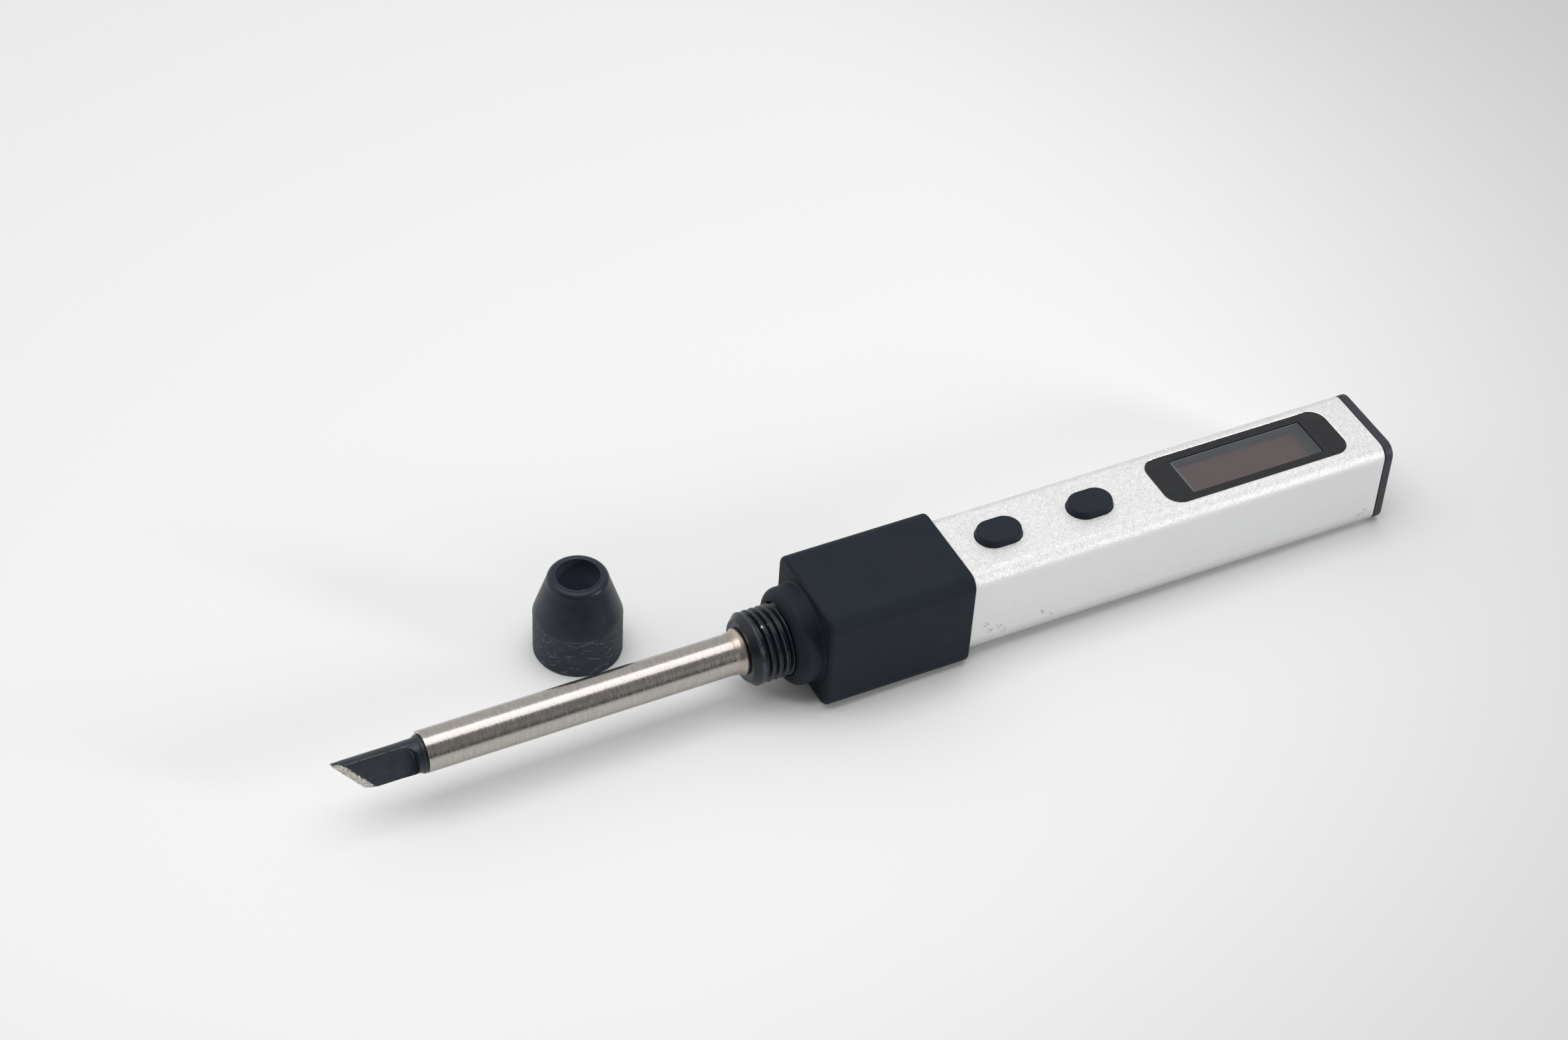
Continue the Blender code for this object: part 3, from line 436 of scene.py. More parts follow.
def silicone(name, dark, light, dust=0.0):
    """Matte rubber; dust is the share of it that may carry a pale speck."""
    made = Finish(name, Roughness=0.62, Specular_IOR_Level=0.2)
    body = made.blend(made.cloud(3.5 * MM, 3.0, 0.35, 0.65), dark, light)
    if dust:
        cell = made.parts(made.cells(2.2 * MM, "Color"))["Y"]
        chosen = made.maths("GREATER_THAN", cell, 1.0 - dust)
        speck = made.ramp(made.cells(2.2 * MM), 0.05, 0.02)
        body = made.blend(made.both(chosen, speck), body, (0.16, 0.17, 0.18))
    skin = made.maths("ADD", made.noise(0.12 * MM), made.noise(1.2 * MM))
    return made.done(Base_Color=body, Normal=made.bump(skin, 0.012 * MM))


def moulded_plastic(name, dark, light, rough, specular=0.5):
    made = Finish(name, Specular_IOR_Level=specular)
    body = made.blend(made.cloud(2.0 * MM, 3.0, 0.35, 0.65), dark, light)
    roughness = made.cloud(1.0 * MM, 2.0, 0.3, 0.7, rough - 0.04, rough + 0.04)
    grain = made.bump(made.noise(0.15 * MM), 0.01 * MM)
    return made.done(Base_Color=body, Roughness=roughness, Normal=grain)


def nose_black():
    """Satin black thread: crests polished thin by the nut, and a pale scratch across two of them."""
    made = Finish("black_nose", Specular_IOR_Level=0.38)
    spot = made.parts()
    out = made.radial(spot["Y"], spot["Z"])
    crest = made.ramp(out, NOSE_CREST - 0.04 * MM, NOSE_CREST - 0.01 * MM)
    behind = made.ramp(spot["X"], NOSE_THREAD_FRONT - 0.05 * MM, NOSE_THREAD_FRONT)
    worn = made.both(crest, behind, made.cloud(0.8 * MM, 3.0, 0.35, 0.55))
    body = made.blend(worn, (0.0046, 0.0070, 0.0115), (0.028, 0.036, 0.049))
    # Painted highlight: a broken light line along the edge where the chamfer meets the thread.
    chamfer_rear = pen_box("threaded_nose")[0].x + NOSE_CHAMFER
    painted_rim_highlight = made.ramp(made.apart(spot["X"], chamfer_rear), 0.09 * MM, 0.03 * MM)
    painted_rim_highlight = made.both(painted_rim_highlight, made.cloud(0.9 * MM, 3.0, 0.38, 0.55))
    body = made.blend(made.both(painted_rim_highlight, 0.7), body, (0.046, 0.056, 0.068))
    scratch = 0.0
    for step in range(4):
        on_line = Vector(NOSE_SCRATCH[0]).lerp(Vector(NOSE_SCRATCH[1]), step / 3)
        scratch = made.most(scratch, made.near(on_line, 0.3 * MM))
    scratch = made.both(made.ramp(scratch, 0.15, 0.4), made.ramp(out, NOSE_ROOT, NOSE_CREST))
    body = made.blend(scratch, body, (0.62, 0.56, 0.42))
    roughness = made.cloud(0.6 * MM, 3.0, 0.3, 0.7, 0.28, 0.38)
    grain = made.bump(made.noise(0.3 * MM), 0.008 * MM)
    return made.done(Base_Color=body, Roughness=roughness, Normal=grain)


def nut_black():
    """Smooth satin cone over a dull band with the pale, broken lines of a worn knurl."""
    made = Finish("black_nut", Specular_IOR_Level=0.34)
    spot = made.parts()
    height = spot["X"]
    out = made.radial(spot["Y"], spot["Z"])
    band = made.ramp(height, NUT_BAND + 0.03 * MM, NUT_BAND - 0.03 * MM)
    cloudy = made.cloud(1.5 * MM, 4.0, 0.35, 0.65)
    cone = made.blend(cloudy, (0.0070, 0.0120, 0.0220), (0.010, 0.016, 0.027))
    low = made.blend(cloudy, (0.0130, 0.0195, 0.0310), (0.020, 0.029, 0.043))
    low = made.blend(made.both(knurl_lines(made, spot), 0.8), low, (0.20, 0.21, 0.22))
    # Painted highlight: a broken light line along the seam at the top of the band.
    painted_seam_highlight = made.ramp(made.apart(height, NUT_BAND - 0.04 * MM), 0.09 * MM, 0.03 * MM)
    painted_seam_highlight = made.both(painted_seam_highlight, made.cloud(1.1 * MM, 3.0, 0.35, 0.5), 0.6)
    low = made.blend(painted_seam_highlight, low, (0.10, 0.11, 0.12))
    body = made.blend(band, cone, low)
    # Painted light inside the hole and on the thread, lighter the deeper it goes.
    painted_light_in_hole = made.ramp(out, NUT_HOLE + 0.10 * MM, NUT_HOLE + 0.04 * MM)
    painted_light_on_thread = made.both(made.ramp(out, 5.3 * MM, 5.2 * MM), made.ramp(height, 6.2 * MM, 6.1 * MM))
    deep = made.blend(made.ramp(height, 12.6 * MM, 9.0 * MM), (0.030, 0.035, 0.050), (0.13, 0.15, 0.21))
    body = made.blend(made.most(painted_light_in_hole, painted_light_on_thread), body, deep)
    # A small nick in the band's top edge, painted dark as the shade in it.
    nick_shade = made.near(point_round(NUT_BAND, NUT_RADIUS, NUT_NICK_TURN), 0.7 * MM)
    nick_shade = made.both(nick_shade, made.ramp(height, NUT_BAND - 0.5 * MM, NUT_BAND))
    body = made.blend(made.ramp(nick_shade, 0.3, 0.5), body, (0.004, 0.005, 0.007))
    roughness = made.ramp(band, 0.0, 1.0, 0.42, 0.6)
    grain = made.bump(made.noise(0.2 * MM, 3.0), 0.012 * MM)
    return made.done(Base_Color=body, Roughness=roughness, Normal=grain)


def knurl_lines(made, spot):
    """1 along the worn knurl's crossed lines, broken at random."""
    turned = made.both(made.maths("ARCTAN2", spot["Z"], spot["Y"]), KNURL_COUNT)
    climbed = made.both(spot["X"], 2 * math.pi / KNURL_PITCH)
    wander = made.both(made.noise(2.2 * MM, 3.0), 3.5)
    lines = 0.0
    for operation, size in (("ADD", 0.9), ("SUBTRACT", 1.3)):
        phase = made.maths("ADD", made.maths(operation, turned, climbed), wander)
        line = made.ramp(made.maths("COSINE", phase), 0.955, 0.99)
        broken = made.ramp(made.noise(size * MM, 3.0, 0.6), 0.50, 0.60)
        lines = made.most(lines, made.both(line, broken))
    return lines


def brushed_steel():
    """Barrel: stainless tube brushed round, warm grey, browner by its flare."""
    made = Finish("brushed_barrel", Metallic=1.0)
    streaks = made.noise(1.0, 3.0, 0.65, made.mapped(Scale=(7000.0, 900.0, 900.0)))
    flecks = made.noise(1.0, 2.0, 0.7, made.mapped(Scale=(4200.0, 5200.0, 5200.0)))
    body = made.blend(made.ramp(streaks, 0.3, 0.7), (0.39, 0.362, 0.335), (0.48, 0.453, 0.425))
    body = made.blend(made.ramp(flecks, 0.60, 0.72, 0.0, 0.28), body, (0.24, 0.225, 0.21))
    rear = pen_box("cartridge_barrel")[1].x
    spot = made.parts()
    heat = made.ramp(spot["X"], rear - 3.2 * MM, rear - 0.6 * MM, 0.0, 0.6)
    body = made.blend(heat, body, (0.43, 0.36, 0.30))
    # Painted highlight: a light line along the flare's rim.
    painted_rim_highlight = made.ramp(spot["X"], rear - 0.10 * MM, rear - 0.05 * MM)
    body = made.blend(painted_rim_highlight, body, (0.70, 0.67, 0.63))
    height = made.maths("ADD", made.both(streaks, 0.7), made.both(flecks, 0.6))
    mixed = made.maths("ADD", made.both(streaks, 0.5), made.both(flecks, 0.5))
    roughness = made.ramp(mixed, 0.40, 0.60, 0.15, 0.26)
    roughness = made.most(roughness, made.ramp(heat, 0.2, 0.5, 0.0, 0.3))
    return made.done(Base_Color=body, Roughness=roughness, Normal=made.bump(height, 0.009 * MM))


def knife_finish():
    """Blue-black plating, and a rough tinned face where the knife is ground to its edge."""
    made = Finish("plated_knife")
    spot = made.parts()
    lean_y, lean_z = math.sin(BLADE_ROLL), math.cos(BLADE_ROLL)
    up = made.maths("ADD", made.both(spot["Y"], lean_y), made.both(spot["Z"], lean_z))
    side = made.maths("SUBTRACT", made.both(spot["Y"], lean_z), made.both(spot["Z"], lean_y))
    out = made.radial(side, made.maths("ADD", up, BLADE_DROP))
    tip_x = pen_box("knife_tip")[0].x
    lean = (TIP_HEEL_X - tip_x) / (2 * BLADE_RADIUS)
    below_top = made.maths("SUBTRACT", BLADE_RADIUS - BLADE_DROP, up)
    edge_x = made.maths("ADD", made.both(below_top, lean), tip_x)
    behind = made.maths("SUBTRACT", spot["X"], edge_x)
    ragged = made.both(made.maths("SUBTRACT", made.noise(0.4 * MM, 5.0, 0.6), 0.5), 1.3 * MM)
    tinned = made.ramp(made.maths("ADD", behind, ragged), 1.36 * MM, 1.24 * MM)
    spine = made.ramp(out, BLADE_RADIUS - 0.10 * MM, BLADE_RADIUS - 0.04 * MM)
    spine = made.both(spine, made.ramp(up, 0.2 * MM, 0.6 * MM))
    tinned = made.both(tinned, made.maths("SUBTRACT", 1.0, spine))
    cloud = made.cloud(1.1 * MM, 3.0)
    plate = made.blend(cloud, (0.022, 0.028, 0.037), (0.030, 0.037, 0.047))
    # Lighter along the corners of the flats (painted highlight) and at worn specks and scrapes.
    plate = made.blend(plating_wear_and_edge_highlight(made, side, out), plate, (0.22, 0.21, 0.19))
    lumps = made.ramp(made.noise(0.3 * MM, 5.0, 0.65), 0.35, 0.65)
    solder = made.blend(lumps, (0.36, 0.34, 0.30), (0.82, 0.79, 0.72))
    height = made.both(made.noise(0.22 * MM, 5.0, 0.65), tinned)
    height = made.maths("ADD", height, made.both(made.noise(0.3 * MM), 0.12))
    return made.done(
        Base_Color=made.blend(tinned, plate, solder),
        Metallic=made.ramp(tinned, 0.0, 1.0, 0.55, 0.35),
        Roughness=made.ramp(tinned, 0.0, 1.0, 0.36, 0.5),
        Normal=made.bump(height, 0.1 * MM),
    )


def plating_wear_and_edge_highlight(made, side, out):
    """A painted highlight along the corners of the flats, and where steel shows through: a few specks and short
    scrapes.
    """
    away = made.apart(made.maths("ABSOLUTE", side), BLADE_HALF_THICKNESS)
    # Painted highlight: a light line along the corners of the flats.
    corner = made.ramp(away, 0.06 * MM, 0.02 * MM)
    corner = made.both(corner, made.ramp(out, BLADE_RADIUS - 0.07 * MM, BLADE_RADIUS - 0.02 * MM))
    corner = made.both(corner, made.cloud(0.9 * MM, 3.0, 0.38, 0.55), 0.7)
    along = made.noise(1.0, 3.0, 0.6, made.mapped(Scale=(900.0, 3800.0, 3800.0)))
    scrape = made.ramp(along, 0.66, 0.72, 0.0, 0.25)
    chosen = made.maths("GREATER_THAN", made.parts(made.cells(0.55 * MM, "Color"))["X"], 0.86)
    speck = made.both(chosen, made.ramp(made.cells(0.55 * MM), 0.10, 0.05), 0.8)
    return made.most(made.most(corner, scrape), speck)


def window_glass():
    """Dark window: the display's brown-grey active area fades into blue-grey margins under it."""
    made = Finish("display_window", Roughness=0.06, Alpha=0.6, Specular_IOR_Level=0.35)
    low, high = pen_box("display_lens")
    spot = made.parts()
    inside = made.ramp(spot["X"], high.x - 1.6 * MM, high.x - 2.8 * MM)
    inside = made.both(inside, made.ramp(spot["Y"], high.y - 1.1 * MM, high.y - 1.9 * MM))
    haze = made.cloud(6 * MM)
    margin = made.blend(haze, (0.093, 0.099, 0.106), (0.099, 0.105, 0.112))
    active = made.blend(haze, (0.142, 0.115, 0.115), (0.150, 0.122, 0.121))
    # Painted highlight: light lines along the pane's front and far edges.
    painted_front_rim_highlight = made.ramp(spot["X"], low.x + 0.14 * MM, low.x + 0.08 * MM)
    painted_rim_highlight = made.most(painted_front_rim_highlight, made.ramp(spot["Y"], high.y - 0.14 * MM, high.y - 0.08 * MM))
    body = made.blend(inside, margin, active)
    return made.done(Base_Color=made.blend(made.both(painted_rim_highlight, 0.8), body, (0.34, 0.36, 0.40)))


def display_panel():
    """Switched-off display: a brown-grey active area that fades into blue-grey margins."""
    high = pen_box("oled_panel")[1]
    made = Finish("display_panel", Roughness=0.35)
    to_pen = PEN.inverted()  # for a CAD mesh
    spot = made.parts(made.mapped(Location=to_pen.translation, Rotation=to_pen.to_euler()))
    across = made.maths("ABSOLUTE", spot["Y"])
    along = made.ramp(spot["X"], high.x - 4.3 * MM, high.x - 5.3 * MM)
    inside = made.both(along, made.ramp(across, 3.0 * MM, 2.4 * MM))
    weave = made.cloud(1.2 * MM, 2.0, 0.3, 0.7, 0.0, 0.25)
    margin = made.blend(weave, (0.098, 0.100, 0.116), (0.106, 0.108, 0.122))
    active = made.blend(weave, (0.158, 0.126, 0.126), (0.165, 0.133, 0.132))
    return made.done(Base_Color=made.blend(inside, margin, active))


def brass():
    made = Finish("contact_brass", Metallic=1.0)
    streaks = made.noise(1.0, 3.0, 0.6, made.mapped(Scale=(1200.0, 6000.0, 6000.0)))
    body = made.blend(made.ramp(streaks, 0.3, 0.7), (0.70, 0.50, 0.22), (0.86, 0.66, 0.34))
    return made.done(Base_Color=body, Roughness=made.ramp(streaks, 0.3, 0.7, 0.22, 0.34))


def plain_steel(name, dark, light):
    made = Finish(name, Metallic=1.0)
    streaks = made.noise(1.0, 3.0, 0.6, made.mapped(Scale=(1500.0, 5000.0, 2500.0)))
    body = made.blend(made.ramp(streaks, 0.3, 0.7), dark, light)
    roughness = made.ramp(streaks, 0.3, 0.7, 0.28, 0.42)
    return made.done(Base_Color=body, Roughness=roughness, Normal=made.bump(streaks, 0.006 * MM))


def circuit_green():
    """Solder mask with a faint relief of tracks under it."""
    made = Finish("board_green", Coat_Weight=0.4, Coat_Roughness=0.15)
    node = made.nodes.new("ShaderNodeTexBrick")
    made.give(node, {"Vector": made.place(), "Scale": 350.0, "Mortar_Size": 0.03})
    tracks = made.ramp(node.outputs["Fac"], 0.2, 0.8)
    body = made.blend(tracks, (0.012, 0.085, 0.048), (0.03, 0.16, 0.085))
    return made.done(Base_Color=body, Roughness=0.45, Normal=made.bump(tracks, 0.02 * MM))


def ceramic():
    made = Finish("white_ceramic")
    cloudy = made.cloud(0.8 * MM, 4.0)
    body = made.blend(cloudy, (0.70, 0.67, 0.61), (0.80, 0.78, 0.73))
    grain = made.bump(made.noise(0.1 * MM), 0.01 * MM)
    return made.done(Base_Color=body, Roughness=0.55, Normal=grain)


def capacitor_finish():
    """Tan ceramic body between two tinned ends."""
    made = Finish("capacitor_body")
    along = made.parts(made.place("Generated"))["X"]
    end = made.maths("GREATER_THAN", made.apart(along, 0.5), 0.34)
    cloudy = made.cloud(0.3 * MM, 3.0)
    tan = made.blend(cloudy, (0.33, 0.23, 0.13), (0.40, 0.29, 0.17))
    body = made.blend(end, tan, (0.62, 0.62, 0.60))
    return made.done(Base_Color=body, Metallic=end, Roughness=0.4)


# ---- Outlines and the solids made from them ----


def outline(half_u, half_v, corner, steps=CORNER_STEPS):
    """A rectangle with rounded corners; corner equal to a half makes round ends or a circle."""
    round_ends = corner >= min(half_u, half_v)
    points = []
    for quarter, (side_u, side_v) in enumerate(((1, 1), (-1, 1), (-1, -1), (1, -1))):
        for step in range(steps + 1):
            share = (step + 0.5) / (steps + 1) if round_ends else step / steps
            angle = (quarter + share) * math.pi / 2
            u = side_u * (half_u - corner) + corner * math.cos(angle)
            v = side_v * (half_v - corner) + corner * math.sin(angle)
            points.append((u, v))
    return points


def square_at(x, width, corner, steps=CORNER_STEPS):
    return [Vector((x, y, z)) for y, z in outline(width / 2, width / 2, corner, steps)]


def circles(pairs, steps=CORNER_STEPS):
    """Circles round the x axis, from (x, radius) pairs."""
    rings = []
    for x, radius in pairs:
        ring = outline(radius, radius, radius, steps)
        rings.append([Vector((x, y, z)) for y, z in ring])
    return rings


def level(centre_x, half_x, half_y, corner, z):
    return [Vector((centre_x + u, v, z)) for u, v in outline(half_x, half_y, corner)]


def point_round(x, radius, angle):
    """The point at x, that far from the x axis and turned round it by that angle."""
    return Vector((x, radius * math.cos(angle), radius * math.sin(angle)))


def rounding(end, radius, towards, steps=6):
    """(position, inset) pairs along a quarter round that ends at end, from full width inwards."""
    angles = [math.pi / 2 * step / steps for step in range(steps + 1)]
    return [
        (end - towards * radius * (1 - math.sin(angle)), radius * (1 - math.cos(angle)))
        for angle in angles
    ]


def squares(pairs, width, corner):
    return [square_at(x, width - 2 * inset, corner - inset) for x, inset in pairs]


def bridge(bm, first, second):
    for k, (a, b) in enumerate(zip(first, second)):
        after = (k + 1) % len(first)
        bm.faces.new((a, first[after], second[after], b))


def bridge_all(bm, rows):
    for first, second in zip(rows, rows[1:]):
        bridge(bm, first, second)


def rows_of(bm, sections):
    return [[bm.verts.new(point) for point in section] for section in sections]


def loft(sections, closed=False):
    """A skin over the sections: ends capped, or joined to each other round a hollow."""
    bm = bmesh.new()
    rows = rows_of(bm, sections)
    bridge_all(bm, rows)
    if closed:
        bridge(bm, rows[-1], rows[0])
    else:
        bm.faces.new(rows[0])
        bm.faces.new(rows[-1])
    return bm


def threaded(before, start, turns, radii, after):
    """Sections joined by a right-hand screw thread, closed round the hollow.

    A thread's rows climb along x by one pitch in a turn, so that a row ends where the row one
    pitch further on began.
    """
    bm = bmesh.new()
    rows_before, rows_after = rows_of(bm, before), rows_of(bm, after)
    bridge_all(bm, rows_before)
    bridge_all(bm, rows_after)
    bridge(bm, rows_after[-1], rows_before[0])

    form, columns = len(THREAD_FORM), len(before[0])
    last = form * turns + 1
    low, high = radii
    grid = []
    for k in range(columns):
        angle = (k + 0.5) / columns * 2 * math.pi
        column = []
        for j in range(last + form + 1 if k == 0 else last + 1):
            share, wide = THREAD_FORM[j % form]
            x = start + (j // form + share + k / columns) * PITCH
            column.append(bm.verts.new(point_round(x, low + wide * (high - low), angle)))
        grid.append(column)
    grid.append(grid[0][form:])

    for k, (column, following) in enumerate(zip(grid, grid[1:])):
        after_k = (k + 1) % columns
        near = [rows_before[-1][k], *column[: last + 1], rows_after[0][k]]
        far = [rows_before[-1][after_k], *following[: last + 1], rows_after[0][after_k]]
        for corners in zip(near, far, far[1:], near[1:]):
            bm.faces.new(corners)
    bm.faces.new([rows_before[-1][0], *grid[0][: form + 1]])
    bm.faces.new([rows_after[0][0], *reversed(grid[0][last:])])
    return bm


def mesh_object(name, bm, finish=None):
    """The bmesh as an object whose faces point out."""
    bmesh.ops.remove_doubles(bm, verts=bm.verts, dist=1e-8)
    bmesh.ops.recalc_face_normals(bm, faces=bm.faces)
    mesh = bpy.data.meshes.new(name)
    bm.to_mesh(mesh)
    bm.free()
    if finish:
        mesh.materials.append(finish)
    obj = bpy.data.objects.new(name, mesh)
    bpy.context.scene.collection.objects.link(obj)
    return obj


def cut(obj, *cutters):
    """Cuts each bmesh out of obj for good."""
    helpers = [mesh_object("cutter", bm) for bm in cutters]
    for helper in helpers:
        boolean = obj.modifiers.new("cut", "BOOLEAN")
        boolean.operation, boolean.solver, boolean.object = "DIFFERENCE", "EXACT", helper
    graph = bpy.context.evaluated_depsgraph_get()
    mesh = bpy.data.meshes.new_from_object(obj.evaluated_get(graph))
    obj.modifiers.clear()
    obj.data = mesh
    for helper in helpers:
        bpy.data.objects.remove(helper)


def place(obj, node, at, weighted=True, sharp=36):
    """Smooths obj but for its sharp edges, and puts it in the CAD node's stead on its body."""
    obj.data.shade_smooth()
    obj.data.set_sharp_from_angle(angle=math.radians(sharp))
    if weighted:
        normals = obj.modifiers.new("face_weighted", "WEIGHTED_NORMAL")
        normals.keep_sharp = True
    obj.matrix_world = at
    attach(obj, BODY_OF[node])
    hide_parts(node)


# ---- Housing and end cap ----


def screw_hole(side):
    """Countersunk hole of a nose screw, through the housing's side wall."""
    half = pen_box("housing")[1].y
    profile = ((half - 3 * WALL, SCREW_HOLE), (half - SCREW_SEAT, SCREW_HOLE), (half + SEAM, SCREW_HEAD))
    rings = []
    for out, radius in profile:
        ring = outline(radius, radius, radius, HOLE_STEPS)
        rings.append([Vector((SCREW_X + u, side * out, v)) for u, v in ring])
    return loft(rings)


def opening(centre, half_x, half_y, corner, top):
    """Cutter for a hole in the top wall, flared at the surface so that its edge is rounded."""
    flares = [(top - 2 * WALL, 0.0), *rounding(top, OPENING_EDGE, 1, 5)]
    flares.append((top + OPENING_EDGE, 4 * OPENING_EDGE))
    return loft([level(centre, half_x + out, half_y + out, corner + out, z) for z, out in flares])


def make_housing(finish):
    low, high = pen_box("housing")
    width, inner = high.y - low.y, high.y - low.y - 2 * WALL
    inner_corner = BODY_CORNER - WALL
    sections = [square_at(high.x, inner, inner_corner)]
    sections += squares(rounding(high.x, HOUSING_EDGE, 1, 3)[::-1], width, BODY_CORNER)
    sections += squares(rounding(low.x, HOUSING_EDGE, -1, 3), width, BODY_CORNER)
    sections.append(square_at(low.x, inner, inner_corner))
    housing = mesh_object("housing_shell", loft(sections, closed=True), finish)
    centre, reach = middle_of("display_bezel")
    cutters = [opening(centre.x, reach.x + SEAM, reach.y + SEAM, DISPLAY_CORNER, high.z)]
    half_x, half_y = (half + BUTTON_GAP for half in BUTTON_HALF)
    for name in BUTTONS:
        cutters.append(opening(middle_of(name)[0].x, half_x, half_y, half_y, high.z))
    cut(housing, *cutters, screw_hole(-1), screw_hole(1))
    place(housing, "housing", PEN)


def socket_mouth(front, rear):
    """Cutter for the socket's hole through the cap, flared at the rear face."""
    centre, reach = middle_of("usb_socket_shell")
    flares = [(front - PAST, 0.0), (rear - SOCKET_LIP, 0.0), (rear, SOCKET_LIP)]
    flares.append((rear + PAST, 5 * SOCKET_LIP))
    mouth = []
    for x, more in flares:
        half_y, half_z = reach.y + SOCKET_GAP + more, reach.z + SOCKET_GAP + more
        mouth.append([Vector((x, y, centre.z + z)) for y, z in outline(half_y, half_z, half_z)])
    return loft(mouth)


def cap_screw_hole(name, front, rear):
    """Cutter for a cap screw's hole, with a wider seat for its head at the rear."""
    centre, reach = middle_of(name)
    deep, high = CAP_SCREW_SEAT
    head = reach.y + SEAM
    profile = [(front - PAST, CAP_SCREW_HOLE), (rear - deep, CAP_SCREW_HOLE)]
    profile += [(rear - high, head), (rear + PAST, head)]
    aside = Vector((0, centre.y, centre.z))
    return loft([[point + aside for point in ring] for ring in circles(profile, HOLE_STEPS)])


def make_end_cap(finish):
    low, high = pen_box("end_cap")
    width = high.y - low.y
    sections = [square_at(x, SPIGOT_WIDTH, SPIGOT_CORNER) for x in (low.x, FLANGE_FRONT)]
    sections += squares(rounding(FLANGE_FRONT, 0.5 * CAP_ROUND, -1, 3)[::-1], width, BODY_CORNER)
    sections += squares(rounding(high.x, CAP_ROUND, 1, 5), width, BODY_CORNER)
    cap = mesh_object("rear_cap", loft(sections), finish)
    holes = [cap_screw_hole(name, low.x, high.x) for name in ("cap_screw_near", "cap_screw_far")]
    cut(cap, socket_mouth(low.x, high.x), *holes)
    place(cap, "end_cap", PEN)


# ---- Sleeve, nose and nut ----


def make_sleeve(finish):
    low, high = pen_box("silicone_sleeve")
    width = high.y - low.y
    inside = pen_box("housing")[1].y * 2 + 2 * SEAM
    sections = squares(rounding(high.x, SLEEVE_RIM_ROUND, 1)[::-1], width, SLEEVE_CORNER)
    sections += squares(rounding(0.0, SLEEVE_FRONT_ROUND, -1), width, SLEEVE_CORNER)
    neck = [(x, NECK_RADIUS + flare) for x, flare in rounding(0.0, NECK_FILLET, 1, 5)[::-1]]
    neck += [(x, NECK_RADIUS - inset) for x, inset in rounding(low.x, NECK_ROUND, -1, 9)]
    sections += circles([*neck, (low.x, NECK_HOLE), (SLEEVE_FRONT_WALL, NECK_HOLE)])
    sections += [square_at(x, inside, BODY_CORNER) for x in (SLEEVE_FRONT_WALL, high.x)]
    place(mesh_object("grip_sleeve", loft(sections, closed=True), finish), "silicone_sleeve", PEN)


def make_nose(finish):
    low, high = pen_box("threaded_nose")
    width = pen_box("housing")[1].y * 2
    profile = [(low.x, NOSE_BORE), (low.x, NOSE_LIP - 2 * LAND), (low.x + LAND, NOSE_LIP)]
    for x in (low.x + NOSE_CHAMFER, NOSE_THREAD_FRONT - 2 * LAND):
        profile.append((x, NOSE_CREST + LAND))
    before = circles(profile, FINE_STEPS)
    flange_front, flange_rear = NOSE_FLANGE
    after = circles([(x, NOSE_RELIEF) for x in (NOSE_RELIEF_FRONT, flange_front)], FINE_STEPS)
    for x in NOSE_FLANGE:
        after.append(square_at(x, width, BODY_CORNER, FINE_STEPS))
    for x in (flange_rear, high.x):
        after.append(square_at(x, SPIGOT_WIDTH, SPIGOT_CORNER, FINE_STEPS))
    after += circles([(high.x, NOSE_BORE)], FINE_STEPS)
    bm = threaded(before, NOSE_THREAD_FRONT, NOSE_TURNS, (NOSE_ROOT, NOSE_CREST), after)
    nose = mesh_object("screw_nose", bm, finish)
    place(nose, "threaded_nose", PEN, weighted=False, sharp=20)


def ruffled(value, size, seed):
    """Smooth random number from -1 to 1, by place."""
    return noise.noise(Vector(value) / size + Vector((seed, 0, 0)))


def knurl(x, angle):
    """How far the nut's band stands in from its full radius: crossed, worn, shallow cuts."""
    spot = point_round(x, NUT_RADIUS, angle)
    depth = 0.0
    for lean in (1, -1):
        wobble = 0.25 * ruffled(spot, 2.6 * MM, 7.0 * lean)
        phase = KNURL_COUNT * angle / (2 * math.pi) + lean * x / KNURL_PITCH + wobble
        groove = max(0.0, math.cos(2 * math.pi * phase)) ** 14
        depth += KNURL_CUT * groove * (0.5 + ruffled(spot, 1.7 * MM, 3.0 + lean))
    return KNURL_INSET + depth + KNURL_ROUGH * ruffled(spot, 0.5 * MM, 11.0)


